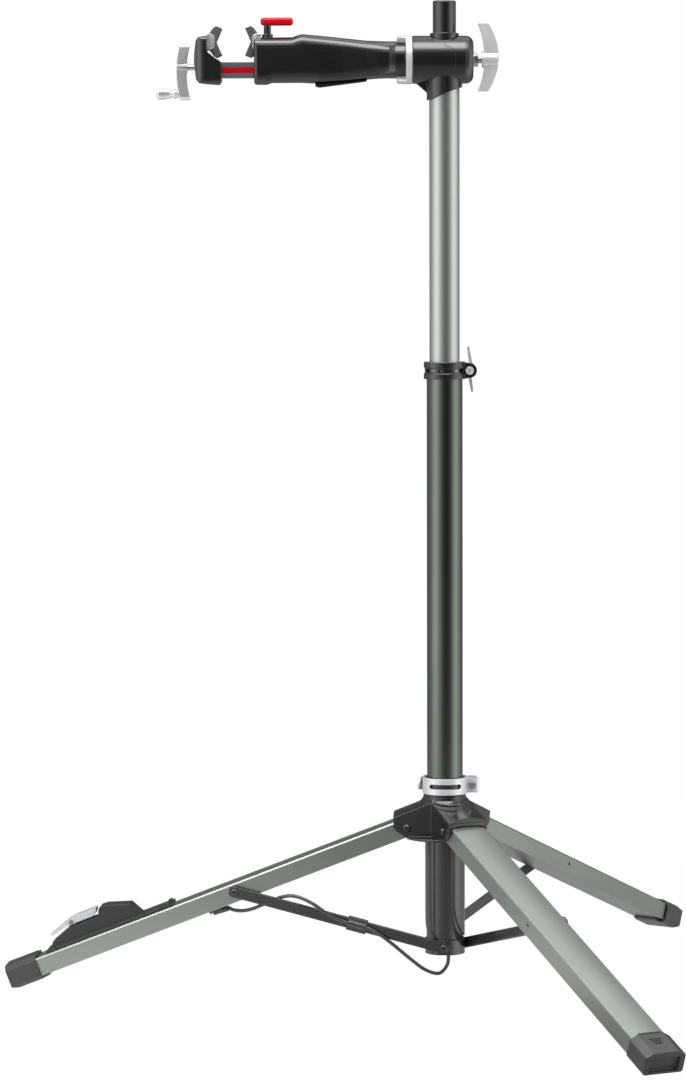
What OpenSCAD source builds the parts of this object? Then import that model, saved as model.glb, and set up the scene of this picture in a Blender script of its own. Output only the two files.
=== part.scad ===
// Folding bicycle repair stand with a lift-assisted mast and a crank-tightened clamp.
// +Z is up, +X runs from the clamp jaws to the tension handle, and -Y faces the viewer.
// The origin lies on the floor, on the axis of the column.

/* [Column] */
// Outside diameter of the upper tube
upper_tube_d = 42; // [36:0.5:52]
// Wall of the upper tube
upper_tube_wall = 2.5; // [1.5:0.1:4]
// Wall of the plastic bush between the two tubes
guide_bush_wall = 2; // [1.5:0.1:4]
// Length of the plastic bush between the two tubes
guide_bush_len = 90; // [40:1:140]
// Wall of the lower tube
lower_tube_wall = 2; // [1.5:0.1:4]
// Height of the top of the lower tube above the floor
lower_tube_top = 882; // [720:1:1060]
// Length of upper tube that stands inside the lower tube
tube_overlap = 378; // [300:1:420]
// Height of the clamp's turning axis above the floor
head_height = 1302; // [1140:1:1560]
// Radial thickness of the ribs on the spine tube
spine_rib = 1.8; // [1:0.1:3]
// Wall of the spine tube between its ribs
spine_wall = 1.1; // [0.8:0.1:3]
// Height of the brace collar above the floor
foot_collar_z = 54; // [44:1:60]
// Length of the brace collar
foot_collar_len = 21; // [18:1:30]

/* [Gas spring] */
// Outside diameter of the gas spring's cylinder
gas_cylinder_d = 28; // [20:0.5:28]
// Wall of the gas spring's cylinder
gas_cylinder_wall = 1.6; // [1:0.1:3]
// Diameter of the gas spring's rod
gas_rod_d = 10; // [8:0.5:12]
// Length of rod inside the cylinder
gas_rod_reach = 290; // [280:1:400]

/* [Height clamp] */
// Height of the black clamp collar
height_collar_len = 23.5; // [18:0.5:30]
// Radial thickness of the clamp collar
height_collar_wall = 4; // [3:0.1:6]
// Diameter of the collar's clamp bolt
height_bolt_d = 6; // [5:0.5:8]
// Tip to tip length of the wing nut
wing_span = 64; // [50:1:72]

/* [Hub and fold] */
// Direction of the left leg seen from above, from +X
left_leg_turn = 175.4; // [170:0.1:180]
// Slope of the legs below level
leg_slope = 21.4; // [18:0.1:26]
// Radial wall of the hub's sliding sleeve
hub_sleeve_wall = 5.9; // [4:0.1:8]
// Distance from the sleeve to each leg's pivot
leg_pivot_room = 20.8; // [20:0.1:26]
// Thickness of the hood's side plates
hood_wall = 4; // [3:0.1:6]
// Slope of the hood's roof below level
hood_slope = 22; // [18:0.5:26]
// Reach of the hood past the leg's pivot
hood_reach = 20; // [18:0.5:24]
// Height of the silver clamp ring
hub_ring_len = 22.8; // [18:0.2:28]
// Radial thickness of the silver clamp ring
hub_ring_wall = 3.4; // [2.5:0.1:5]
// Diameter of the leg pivot bolts and brace bolts
pivot_bolt_d = 6; // [5:0.5:8]

/* [Legs] */
// Width of a leg
leg_w = 51; // [42:0.5:62]
// Depth of a leg at its side faces
leg_t = 25.6; // [22:0.2:28]
// Rise of the crowned top at mid width
leg_crown = 1.6; // [0.8:0.1:3]
// Wall of the leg extrusion
leg_wall = 2; // [1.5:0.1:3]
// Length of a leg from its pivot to its cut end
leg_len = 574.6; // [478:0.2:690]
// Wall of the foot cap around the leg
cap_wall = 3.8; // [2.5:0.1:5]
// Length of the foot cap past the leg's end
cap_past = 32; // [26:0.2:40]
// Length of the foot cap that sleeves the leg
cap_sleeve = 14; // [10:0.5:24]
// Distance from leg pivot to brace pin along the leg
leg_pin_along = 260; // [220:1:300]
// Width of a brace bar
brace_w = 15; // [12:0.5:18]
// Thickness of a brace bar
brace_t = 4.5; // [3:0.1:6]

/* [Pedal and cable] */
// Width of the pedal's housing under the pedal
pedal_housing_w = 30; // [25:0.5:38]
// Diameter of the pedal's pin
pedal_pin_d = 3.6; // [3:0.2:4]
// Thickness of the pedal's sheet metal
pedal_sheet = 2; // [1.5:0.1:3]
// Diameter of the release cable
cable_d = 5; // [4:0.1:6]

/* [Head] */
// Diameter of the head's barrel
barrel_d = 66; // [56:0.5:80]
// Length of the barrel to the left of the column
barrel_left = 44.3; // [36:0.1:52]
// Length of the barrel to the right of the column
barrel_right = 39.8; // [34:0.1:48]
// Wall of the socket round the upper tube
socket_wall = 3.5; // [2.5:0.1:5]
// Diameter of the clamp's pivot shaft
shaft_d = 20; // [16:0.5:24]
// Diameter of the accessory post on top
post_d = 32; // [28:0.5:35]
// Height of the accessory post above the barrel
post_len = 48; // [30:1:70]
// Tip to tip length of the tension handle
handle_span = 93; // [70:1:110]

/* [Clamp arm] */
// Distance from the column's axis to the arm's front end
arm_reach = 262.6; // [255:0.2:320]
// Depth of the arm's boxy front part
arm_depth = 56; // [48:0.5:66]
// Wall of the arm's half shells
arm_wall = 4; // [3:0.1:6]
// Height of the slide bar
bar_h = 21.5; // [18:0.1:22]
// Depth of the slide bar
bar_depth = 24; // [18:0.5:28]
// Gap between the tips of the two jaw pads
jaw_gap = 32; // [20:0.5:40]
// Depth of the jaw pads
jaw_depth = 34; // [26:0.5:44]
// Diameter of the crank's screw
screw_d = 8; // [6:0.5:10]
// Travel of the red push button
button_travel = 6; // [3:0.5:8]

/* [Fits] */
// Radial clearance of a sliding or turning fit
run_fit = 0.1; // [0.05:0.01:0.1]
// Gap between faces that move past each other
face_gap = 0.3; // [0.2:0.05:0.5]

/* [Hidden] */

$fn = 96;
far = 400;
over = 1;

// Colours
anodised = [0.60, 0.64, 0.60];
dark_tube = [0.14, 0.17, 0.14];
dark_grey = [0.25, 0.25, 0.25];
black = [0.10, 0.10, 0.10];
silver = [0.80, 0.82, 0.83];
steel = [0.60, 0.60, 0.62];
rubber = [0.33, 0.34, 0.34];
red = [0.78, 0.04, 0.12];
brass = [0.76, 0.60, 0.32];
nylon = [0.85, 0.85, 0.80];

// Column sizes that follow from the tubes
lower_bore = upper_tube_d + 2 * guide_bush_wall;
lower_tube_d = lower_bore + 2 * lower_tube_wall;
lower_tube_z = foot_collar_z + 2;
spine_d = lower_tube_d + 2 * spine_wall;
rib_d = spine_d + 2 * spine_rib;
trough_half_angle = 31;
rib_scoop_r = 101;
rib_scoop_rise = 55;
foot_collar_top = foot_collar_z + foot_collar_len;
ring_bolt_z = foot_collar_z + 10.8;
upper_tube_z = lower_tube_top - tube_overlap;
upper_tube_top = head_height - barrel_d / 2 - 3;

// Base plug, with the valve lever in its slot
plug_len = 52;
plug_top = lower_tube_z + plug_len;
lever_z = lower_tube_z + 26;
lever_slot = [30, 26, 17];
lever_size = [24, 22, 5];
lever_pin_d = 3;
lever_pin_x = -9;
lever_y = -7;
valve_pin_d = 3;
rod_socket = 10;
cable_hole = cable_d + 2 * face_gap;
cable_in = [4.5, -14];

// Gas spring heights
gas_cylinder_z = upper_tube_z - 34;
gas_cylinder_top = upper_tube_top - 60;
gas_rod_top = gas_cylinder_z + gas_rod_reach;
piston_len = 14;
gas_gland_len = 12;
slide_bush_len = 30;

// Height clamp
height_collar_z = lower_tube_top + 2.5 - height_collar_len;
height_mid = height_collar_z + height_collar_len / 2;
height_collar_d = lower_tube_d + 2 * height_collar_wall;
height_lug_x = lower_tube_d / 2 + 9.5;
height_lug_d = 20.6;
height_lug_half = 9;
clamp_slit = 3;
band_h = 8.4;
window_span = 12;
height_bolt_head_d = 11.5;
height_bolt_head = 4;
wing_boss_y = height_collar_d / 2 + 4;
wing_boss_len = 9;
wing_boss_d = 14;
wing_t = 5.5;
wing_lean = 9;
wing_off = 4.6;

// Legs and hub
leg_turns = [left_leg_turn, left_leg_turn + 120, left_leg_turn - 120];
leg_top = leg_t / 2 + leg_crown;
crown_r = (leg_w * leg_w / 4 + leg_crown * leg_crown) / (2 * leg_crown);
leg_tail = 9;
leg_swing_r = norm([leg_tail, leg_top]);
cap_end = leg_len + cap_past;
cap_low = leg_t / 2 + cap_wall + 0.7;
grip_w = 18;
foot_cut = 3.3;
leg_pivot_z = cap_end * sin(leg_slope) + cap_low * cos(leg_slope) - foot_cut;
hub_bore = lower_tube_d + 2 * run_fit;
hub_sleeve_d = hub_bore + 2 * hub_sleeve_wall;
leg_pivot_r = hub_sleeve_d / 2 + leg_pivot_room;
leg_pin_up = 2;
leg_gap = 0.6;
leg_edge = 1.7;
hood_in = leg_w / 2 + leg_gap;
hood_out = hood_in + hood_wall;
hood_crown_r = 90;
hood_top = 19.3;
hood_roof_in = leg_swing_r + 1;
hub_bottom = leg_pivot_z - 16;
hub_flange = 4;
hub_flange_d = 116;
hub_neck_d = hub_bore + 8.8;
hub_collar_d = hub_bore + 5.8;
hub_ring_z = leg_pivot_z + 46.4;
hub_ring_d = hub_collar_d + 2 * face_gap / 3 + 2 * hub_ring_wall;
spine_top = hub_bottom - face_gap;
window_h = 6.7;
window_w = 44;
ear_t = 8;
ear_gap = 4;
ear_x = hub_ring_d / 2 + 6.5;
ear_h = 20;
cam_d = 16;
cam_y = ear_gap / 2 + ear_t + cam_d / 2 + face_gap;
cam_reach = 8;
hub_lever_t = 4;
hub_lever_h = 17;
hub_lever_r = hub_ring_d / 2 + 2.2;
hub_lever_end = 165;

// Braces: the bar runs from the collar's bolt to the leg's pin
leg_pin_r = leg_pivot_r + leg_pin_along * cos(leg_slope) + leg_pin_up * sin(leg_slope);
leg_pin_z = leg_pivot_z - leg_pin_along * sin(leg_slope) + leg_pin_up * cos(leg_slope);
brace_len = norm([leg_pin_r, leg_pin_z - ring_bolt_z]);
brace_angle = atan2(leg_pin_z - ring_bolt_z, leg_pin_r);
brace_in = max(leg_w / 2 + 2 * leg_gap, spine_d / 2 + face_gap);
brace_out = brace_in + brace_t;
collar_flat = brace_in - face_gap;
brace_bolt_in = 18;
bolt_head_d = 11;
bolt_head_h = 3.3;
hex_key = 4;

// Pedal, set out along the leg from the housing's outer end
pedal_out = leg_len - 31.6;
pedal_base_w = leg_w - 5;
pedal_w = pedal_housing_w - 7;
pedal_lug_w = pedal_w - 2 * pedal_sheet - 4 * face_gap;
pedal_pin_at = [47, 42];

// Cable gland under the left leg and clip on the left brace
gland_at = [302, -leg_t / 2 - 4.2, 9];
gland_len = 22;
gland_d = 8.4;
clip_at = 126;
clip_len = 28;
clip_wall = 2;
clip_cable_up = 0.6;
clip_cable_side = brace_out + 3.2;
cable_sides = 10;
cable_steps = 4;
cable_route = [
  [-306, 15.5, 116], [-298, 13, 112.5], [-284, 9, 112], [-268, 4.5, 116.5], [-247, -1, 126.5],
  [-227, -6.5, 134.5], [-209, -14.5, 136], [-187, -21, 127.5], [-162, -23, 110.5], [-137, -23.4, 100],
  [-110, -25.6, 93], [-92, -28, 84], [-72, -30, 69], [-48, -28, 48.5], [-28, -23, 33], [-9, -17.5, 27],
  [2.5, -14.5, 38], [4.5, -14, 53], [4.5, -14, 66]
];

// Head and clamp arm, seen from the turning axis
head_bore = shaft_d + 10;
bush_len = 20;
socket_d = upper_tube_d + 2 * socket_wall;
socket_low = head_height - 56;
head_web = 2.8;
socket_tilt = 20.6;
dome_len = 9;
post_collar_d = post_d + 8;
post_wall = 3;
stud_d = 10;
handle_x = barrel_right + 16;
handle_t = 14;
handle_bulge_out = 14.5;
handle_rise = 3;
handle_deep = 19;
handle_bulge_in = 9.5;
handle_boss_d = 22;
neck_d = 51;
neck_end = barrel_left + 9.3;
clutch_z = barrel_left + 0.6;
clutch_len = 8.4;
clutch_tab = 12.5;
clutch_tab_angle = 26;
parting = 0.1;
bar_z = head_height - 13.7;
bar_slot_gap = 0.25;
bar_in = 112;
bar_out = 62;
stripe_h = 8.7;
stripe_t = 1.2;
arm_sides = 20;

// Arm sections as distance behind the front end, top, bottom, half depth and squareness
arm_half = arm_depth / 2;
arm_back = arm_reach - neck_end - face_gap;
neck_r = neck_d / 2;
arm_sections = [
  [0, 28.6, -31.4, arm_half - 3, 4],
  [1.2, 30.2, -33, arm_half - 1.2, 4],
  [4, 31, -33.8, arm_half, 3.8],
  [17, 31, -33.8, arm_half, 3.6],
  [24, 31, -31.4, arm_half, 3.6],
  [53, 31.4, -31.2, arm_half, 3.5],
  [60, 34, -31.2, arm_half, 3.5],
  [66, 35.6, -31.4, arm_half, 3.5],
  [88, 33.6, -32.4, arm_half, 3.4],
  [122, 29.8, -30.4, arm_half - 0.8, 3.3],
  [155, 26.4, -27.2, arm_half + 0.2, 3],
  [172, 25.8, -25.8, arm_half + 1.2, 2.7],
  [181, neck_r, -neck_r, arm_half + 1.2, 2.5],
  [186, neck_r, -neck_r, arm_half + 0.4, 2.4],
  [190, neck_r, -neck_r, arm_half - 1.1, 2.2],
  [193, neck_r, -neck_r, (arm_half - 1.1 + 2 * neck_r) / 3, 2.1],
  [194.5, neck_r, -neck_r, neck_r, 2],
  [arm_back, neck_r, -neck_r, neck_r, 2]
];

// Jaws: each pad is a V whose vertex points away from the gap
jaw_z = head_height + 25;
jaw_h = 36.6;
vee_depth = 8;
pad_t = 6;
pad_tip = 7.6;
holder_t = 7;
holder_h = 22;
jaw_notch = 9;
fixed_tip_x = -arm_reach - 12.4;
moving_tip_x = fixed_tip_x - jaw_gap;
jaw_body_in = fixed_tip_x - jaw_gap - 1;
jaw_body_len = 37.8;
jaw_body_depth = 50;
jaw_body_r = 15;
jaw_pocket = 29;
screw_z = bar_z + 4;
screw_fit = 0.08;
screw_in = 47;
crank_gap = 9.4;
crank_lever_t = 13.6;
crank_up = 33;
crank_down = 45;
crank_bow = 5.5;
crank_back = 1.4;
crank_w = 14;
knob_d = 16;
knob_len = 27;
knob_seat = 14.6;
knob_pin_d = 5;
knob_drop = 36;
button_x = -arm_reach + 18.2;
button_post_d = 10;
button_cap_size = [45, 15, 11];
button_cap_z = head_height + 47.5;
button_flange_d = 15;
button_flange_z = head_height + 35.6;
button_spring_d = 16;
button_spring_len = 13;
button_ledge = bar_z + bar_h / 2 + bar_slot_gap + 7;
button_shoulder = 2;

// Places and frames

// Seen from one leg's vertical plane: x runs outward, y to the left of someone looking outward
module at_leg(i) { rotate([0, 0, leg_turns[i]]) children(); }

// Along one leg: x from the pivot to the foot, z up from the leg's middle line
module on_leg(i) {
  at_leg(i) translate([leg_pivot_r, 0, leg_pivot_z]) rotate([0, leg_slope, 0]) children();
}

// Along one brace: x from the collar's bolt to the leg's pin
module on_brace(i) { at_leg(i) translate([0, 0, ring_bolt_z]) rotate([0, -brace_angle, 0]) children(); }

// On the clamp's turning axis: x is the stand's own x
module on_axis() { translate([0, 0, head_height]) children(); }

// Lays an outline drawn in y and z along x
module along_x(len) { rotate([90, 0, 90]) linear_extrude(len) children(); }

// Lays an outline drawn in x and z along y, between two places
module along_y(from, to) { translate([0, to, 0]) rotate([90, 0, 0]) linear_extrude(to - from) children(); }

module rod_x(d, from, to) { translate([from, 0, 0]) rotate([0, 90, 0]) cylinder(d = d, h = to - from); }

module rod_y(d, from, to) { translate([0, to, 0]) rotate([90, 0, 0]) cylinder(d = d, h = to - from); }

module pipe(d, bore, from, to) {
  translate([0, 0, from]) difference() {
    cylinder(d = d, h = to - from);
    translate([0, 0, -over]) cylinder(d = bore, h = to - from + 2 * over);
  }
}

module box_between(low, high) { translate(low) cube(high - low); }

// Tube of triangles through rings of equal length, each ordered anticlockwise about the way along
module loft(rings) {
  n = len(rings[0]);
  last = (len(rings) - 1) * n;
  sides = [
    for (i = [0 : len(rings) - 2], j = [0 : n - 1])
      let (a = i * n + j, b = i * n + (j + 1) % n)
        each [[a, b + n, b], [a, a + n, b + n]]
  ];
  start = [for (j = [1 : n - 2]) [0, j, j + 1]];
  end = [for (j = [1 : n - 2]) [last, last + j + 1, last + j]];
  polyhedron([for (r = rings) each r], concat(sides, start, end));
}

// Smooth curve through hand-chosen points
function point_at(route, i) = route[max(0, min(len(route) - 1, i))];
function blend_point(a, b, c, d, t) =
  0.5 * (2 * b + (c - a) * t + (2 * a - 5 * b + 4 * c - d) * t * t + (3 * b - a - 3 * c + d) * t * t * t);
function smooth(route, steps) = [
  for (i = [0 : len(route) - 2], k = [0 : steps - 1])
    blend_point(
      point_at(route, i - 1), route[i], route[i + 1], point_at(route, i + 2), k / steps
    ),
  route[len(route) - 1]
];
function unit(v) = v / norm(v);
function ring_round(p, way, r, n) =
  let (u = unit(cross([0, 1, 0], way)), w = cross(way, u))
    [for (k = [0 : n - 1]) p + r * (cos(360 * k / n) * u + sin(360 * k / n) * w)];
module cord(route, d, n) {
  last = len(route) - 1;
  loft([
    for (i = [0 : last])
      ring_round(route[i], unit(route[min(i + 1, last)] - route[max(i - 1, 0)]), d / 2, n)
  ]);
}

// Socket-head button screw, head outward along +z from z = 0
module button_head(d, h) {
  difference() {
    rotate_extrude()
      polygon([[0, 0], [d / 2, 0], [d / 2, h * 0.3], [d * 0.42, h * 0.72], [d * 0.3, h], [0, h]]);
    translate([0, 0, h * 0.4]) cylinder(d = hex_key / cos(30), h = h, $fn = 6);
  }
}

// Column

module lower_tube() {
  color(dark_tube) difference() {
    pipe(lower_tube_d, lower_bore, lower_tube_z, lower_tube_top);
    // Slit that lets the height collar squeeze the tube
    box_between(
      [0, -clamp_slit / 2, lower_tube_top - 2 * height_collar_len],
      [far, clamp_slit / 2, lower_tube_top + over]
    );
    brace_bolt_holes();
  }
}

module brace_bolt_holes() {
  for (i = [0 : 2])
    at_leg(i) translate([0, 0, ring_bolt_z])
      rod_y(pivot_bolt_d + 2 * run_fit, brace_bolt_in - over, lower_tube_d);
}

module spine_tube() {
  rib_turn = 90 + trough_half_angle;
  rib_arc = 120 - 2 * trough_half_angle;
  scoop_r = rib_d / 2 * sin(trough_half_angle) - 0.6;
  scoop_z = foot_collar_top + rib_scoop_rise;
  color(dark_grey) difference() {
    union() {
      pipe(spine_d, lower_tube_d, foot_collar_top, spine_top);
      for (i = [0 : 2])
        at_leg(i) difference() {
          rotate([0, 0, rib_turn]) translate([0, 0, foot_collar_top + 0.4])
            rotate_extrude(angle = rib_arc)
              translate([spine_d / 2 - 0.5, 0]) square([spine_rib + 0.5, spine_top - foot_collar_top - 1]);
          // The rib's foot curves away beside the brace's eye
          difference() {
            box_between([-far, 0, foot_collar_top - over], [0, far, scoop_z]);
            translate([-scoop_r - rib_scoop_r, 0, scoop_z]) rod_y(2 * rib_scoop_r, -over, far);
          }
        }
    }
  }
}

module brace_collar() {
  color(dark_grey) difference() {
    union() {
      pipe(rib_d, lower_tube_d, foot_collar_z, foot_collar_top);
      // Seats for the braces, which stand out of the collar where the legs are wide
      for (i = [0 : 2])
        at_leg(i) translate([0, 0, ring_bolt_z])
          rod_y(brace_w - 2, lower_tube_d / 2 + over, collar_flat + over);
    }
    for (i = [0 : 2])
      at_leg(i) {
        box_between([-far, collar_flat, 0], [far, far, foot_collar_top + over]);
        translate([0, 0, ring_bolt_z]) rod_y(pivot_bolt_d + 2 * run_fit, 0, lower_tube_d);
      }
  }
}

module base_plug() {
  color(black) {
    difference() {
      translate([0, 0, lower_tube_z]) cylinder(d = lower_bore, h = plug_len);
      translate([0, lever_y, lever_z + lever_size.z / 2]) cube(lever_slot, center = true);
      translate([0, 0, plug_top - rod_socket]) cylinder(d = gas_rod_d, h = far);
      translate([0, 0, lever_z]) cylinder(d = valve_pin_d + 2 * face_gap, h = far);
      translate([cable_in.x, cable_in.y, 0]) cylinder(d = cable_hole, h = lever_z);
      brace_bolt_holes();
    }
    // Pin that the valve lever tips on
    translate([lever_pin_x, lever_y, lever_z + lever_size.z / 2])
      rod_y(lever_pin_d, -lever_slot.y / 2 - over, lever_slot.y / 2 + over);
  }
}

module valve_lever() {
  color(steel) translate([0, lever_y, lever_z]) difference() {
    translate([0, 0, lever_size.z / 2]) cube(lever_size, center = true);
    translate([lever_pin_x, 0, lever_size.z / 2]) rod_y(lever_pin_d + 2 * run_fit, -far, far);
  }
}

module gas_spring_rod() {
  color(steel) {
    translate([0, 0, plug_top - rod_socket]) cylinder(d = gas_rod_d, h = gas_rod_top - plug_top + rod_socket);
    translate([0, 0, gas_rod_top - piston_len])
      cylinder(d = gas_cylinder_d - 2 * gas_cylinder_wall - 2 * run_fit, h = piston_len);
    translate([0, 0, lever_z + lever_size.z + face_gap])
      cylinder(d = valve_pin_d, h = plug_top - rod_socket - lever_z - lever_size.z);
  }
}

module gas_spring_cylinder() {
  bore = gas_cylinder_d - 2 * gas_cylinder_wall;
  color(black) difference() {
    translate([0, 0, gas_cylinder_z]) cylinder(d = gas_cylinder_d, h = gas_cylinder_top - gas_cylinder_z);
    translate([0, 0, gas_cylinder_z + gas_gland_len])
      cylinder(d = bore, h = gas_cylinder_top - gas_cylinder_z - 2 * gas_gland_len);
    translate([0, 0, gas_cylinder_z - over])
      cylinder(d = gas_rod_d + 2 * run_fit, h = gas_gland_len + 2 * over);
  }
}

module slide_bush() {
  color(nylon) pipe(
    lower_bore - 2 * run_fit, gas_cylinder_d, upper_tube_z - face_gap - slide_bush_len, upper_tube_z - face_gap
  );
}

module guide_bush() {
  color(nylon) {
    pipe(lower_bore, upper_tube_d + 2 * run_fit, lower_tube_top - guide_bush_len, lower_tube_top);
    pipe(lower_tube_d, upper_tube_d + 2 * run_fit, lower_tube_top, lower_tube_top + 2);
  }
}

module height_collar() {
  top = height_collar_z + height_collar_len;
  lug = height_lug_d / 2;
  color(black) difference() {
    union() {
      pipe(height_collar_d, lower_tube_d, height_collar_z, top);
      difference() {
        union() {
          translate([height_lug_x, 0, height_mid]) rod_y(height_lug_d, -height_lug_half, height_lug_half);
          along_y(-height_lug_half, height_lug_half) polygon([
            [lower_tube_d / 2 - 2, height_collar_z], [height_lug_x, height_mid - lug],
            [height_lug_x, height_mid + lug], [lower_tube_d / 2 - 2, top]
          ]);
        }
        translate([0, 0, height_collar_z - over]) cylinder(d = lower_tube_d, h = height_collar_len + 2 * over);
      }
    }
    box_between([0, -clamp_slit / 2, 0], [far, clamp_slit / 2, far * 4]);
    translate([height_lug_x, 0, height_mid]) rod_y(height_bolt_d + 2 * face_gap, -far, far);
    // Shallow band round the collar, left off at the lug
    difference() {
      pipe(2 * far, height_collar_d - 2.6, height_mid - band_h / 2, height_mid + band_h / 2);
      box_between([0, -height_lug_half - 2, 0], [far, height_lug_half + 2, far * 4]);
    }
    // Windows with round ends in the band
    for (turn = [-42, -90, -138, 42, 90, 138])
      rotate([0, 0, turn + 90]) translate([0, 0, height_mid]) along_y(-far / 8, 0) {
        square([window_span, band_h - 3], center = true);
        for (x = [-1, 1]) translate([x * window_span / 2, 0]) circle(d = band_h - 3);
      }
  }
}

module height_bolt() {
  head_y = -height_lug_half - height_bolt_head;
  color(silver) translate([height_lug_x, 0, height_mid]) {
    rod_y(height_bolt_d, -height_lug_half, wing_boss_y + wing_boss_len + 2);
    difference() {
      rod_y(height_bolt_head_d, head_y, -height_lug_half);
      translate([0, head_y + 2.4, 0]) rotate([90, 0, 0]) cylinder(d = hex_key / cos(30), h = far, $fn = 6);
    }
    difference() {
      rod_y(wing_boss_d - 2, height_lug_half, wing_boss_y - face_gap);
      rod_y(height_bolt_d, 0, far);
    }
  }
}

module height_wing_nut() {
  half = wing_span / 2;
  lean = half * tan(wing_lean);
  color(silver) translate([height_lug_x, 0, height_mid]) difference() {
    union() {
      rod_y(wing_boss_d, wing_boss_y, wing_boss_y + wing_boss_len);
      // Two wings that lean the same way, one from each side of the boss
      along_y(wing_boss_y + 1, wing_boss_y + wing_boss_len - 1) {
        polygon([
          [wing_off - wing_t / 2, 0], [wing_off + wing_t / 2, 0],
          [wing_off + wing_t * 0.3 - lean * 0.6, half * 0.6], [wing_off + wing_t * 0.3 - lean, half - 1],
          [wing_off - lean, half], [wing_off - wing_t * 0.3 - lean, half - 1]
        ]);
        polygon([
          [wing_t / 2, 0], [-wing_t / 2, 0], [lean * 0.6 - wing_t * 0.3, -half * 0.6],
          [lean - wing_t * 0.3, 1 - half], [lean, -half], [lean + wing_t * 0.3, 1 - half]
        ]);
      }
    }
    rod_y(height_bolt_d + 2 * run_fit, 0, far);
  }
}

// Mast and head

module upper_tube() {
  color(anodised) pipe(upper_tube_d, upper_tube_d - 2 * upper_tube_wall, upper_tube_z, upper_tube_top);
}

module head_casting() {
  r = barrel_d / 2;
  color(black) difference() {
    union() {
      // Barrel, flat at the clutch and domed at the tension handle
      on_axis() rotate([0, 90, 0]) rotate_extrude() polygon([
        [0, -barrel_left], [r - 0.8, -barrel_left], [r, -barrel_left + 0.8],
        [r, barrel_right - dome_len - 1.6], [r - 0.7, barrel_right - dome_len - 0.8],
        [r, barrel_right - dome_len], [r - 1.2, barrel_right - dome_len * 0.6],
        [r - 4, barrel_right - dome_len * 0.22], [r - 8, barrel_right], [0, barrel_right]
      ]);
      // Socket for the upper tube, cut on a slant at its mouth
      difference() {
        union() {
          translate([0, 0, socket_low - 40]) cylinder(d = socket_d, h = head_height - socket_low + 40);
          // Web under the barrel's left end
          along_y(-5, 5) polygon([
            [head_web - barrel_left, head_height - r * 0.92], [-socket_d / 2 + 1, socket_low + 10],
            [0, socket_low + 10], [0, head_height - r * 0.7]
          ]);
        }
        translate([-socket_d / 2, 0, socket_low]) rotate([0, -socket_tilt, 0])
          box_between([-far, -far, -far], [far, far, 0]);
      }
    }
    translate([0, 0, -over]) cylinder(d = upper_tube_d, h = upper_tube_top + over);
    on_axis() rod_x(head_bore, -far, far);
  }
}

module shaft_bushes() {
  color(nylon) on_axis() difference() {
    union() {
      rod_x(head_bore, -barrel_left, -barrel_left + bush_len);
      rod_x(head_bore, barrel_right - bush_len, barrel_right);
    }
    rod_x(shaft_d + 2 * run_fit, -far, far);
  }
}

module top_post() {
  top = barrel_d / 2 + post_len;
  color(black) on_axis() difference() {
    union() {
      cylinder(d = post_d, h = top - 1.5);
      translate([0, 0, top - 1.5]) cylinder(d1 = post_d, d2 = post_d - 3, h = 1.5);
      cylinder(d = post_collar_d, h = barrel_d / 2 + 3.4);
    }
    translate([0, 0, -over]) cylinder(d = post_d - 2 * post_wall, h = top - 3);
    rod_x(barrel_d, -far, far);
  }
}

// Clamp arm

function spread(v, power) = sign(v) * pow(abs(v), 2 / power);

// Half of one arm section on the given side, from top to bottom or from bottom to top
function half_ring(s, side) = [
  for (k = [0 : arm_sides])
    let (turn = (side < 0 ? 90 : 270) + 180 * k / arm_sides)
      [
        s[0] - arm_reach,
        side * parting + s[3] * (k == 0 || k == arm_sides ? 0 : spread(cos(turn), s[4])),
        head_height + (s[1] + s[2]) / 2 + (s[1] - s[2]) / 2 * spread(sin(turn), s[4])
      ]
];

module arm_shell(side) {
  bar_room = bar_h / 2 + bar_slot_gap;
  deep = bar_depth / 2 + bar_slot_gap;
  color(black) difference() {
    union() {
      loft([for (s = arm_sections) half_ring(s, side)]);
      // Half of the flange round the push button
      intersection() {
        translate([button_x, 0, head_height]) cylinder(d = button_flange_d, h = button_flange_z - head_height);
        box_between([-far, side < 0 ? -far : parting, 0], [0, side < 0 ? -parting : far, 4 * far]);
      }
    }
    // Channel for the slide bar
    box_between(
      [-arm_reach - over, -deep, bar_z - bar_room], [-arm_reach + bar_in + 42, deep, bar_z + bar_room]
    );
    // Seat of the pivot shaft
    on_axis() rod_x(shaft_d, -arm_reach + 160, over);
    // Notch for the fixed jaw's holder
    box_between(
      [-arm_reach - over, -jaw_depth / 2 - face_gap, jaw_z - jaw_h / 2 + 4],
      [-arm_reach + jaw_notch, jaw_depth / 2 + face_gap, head_height + far]
    );
    // Guide of the push button, with room for its spring and shoulder
    translate([button_x, 0, bar_z]) cylinder(d = button_post_d + 2 * run_fit, h = far);
    translate([button_x, 0, button_ledge])
      cylinder(d = button_spring_d + 2 * face_gap, h = button_spring_len + button_shoulder + face_gap);
  }
}

module arm_shell_near() { arm_shell(-1); }

module arm_shell_far() { arm_shell(1); }

module arm_lower_plate() {
  low = head_height - 37.4;
  color(black) along_y(-13, 13) polygon([
    [-arm_reach + 84, low + 2], [-arm_reach + 87, low], [-arm_reach + 91, low - 0.2],
    [-arm_reach + 153, low + 7.6], [-arm_reach + 156, low + 9.2], [-arm_reach + 155, head_height - 27.5],
    [-arm_reach + 122, head_height - 30.7], [-arm_reach + 88, head_height - 32.7],
    [-arm_reach + 84, head_height - 32.7]
  ]);
}

module arm_shaft() {
  color(steel) on_axis() {
    rod_x(shaft_d, -arm_reach + 160, barrel_right + 1);
    translate([barrel_right + 1, 0, 0]) rotate([0, 90, 0]) cylinder(d = 17 / cos(30), h = 6, $fn = 6);
    rod_x(stud_d, barrel_right, handle_x + 15);
  }
}

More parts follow.
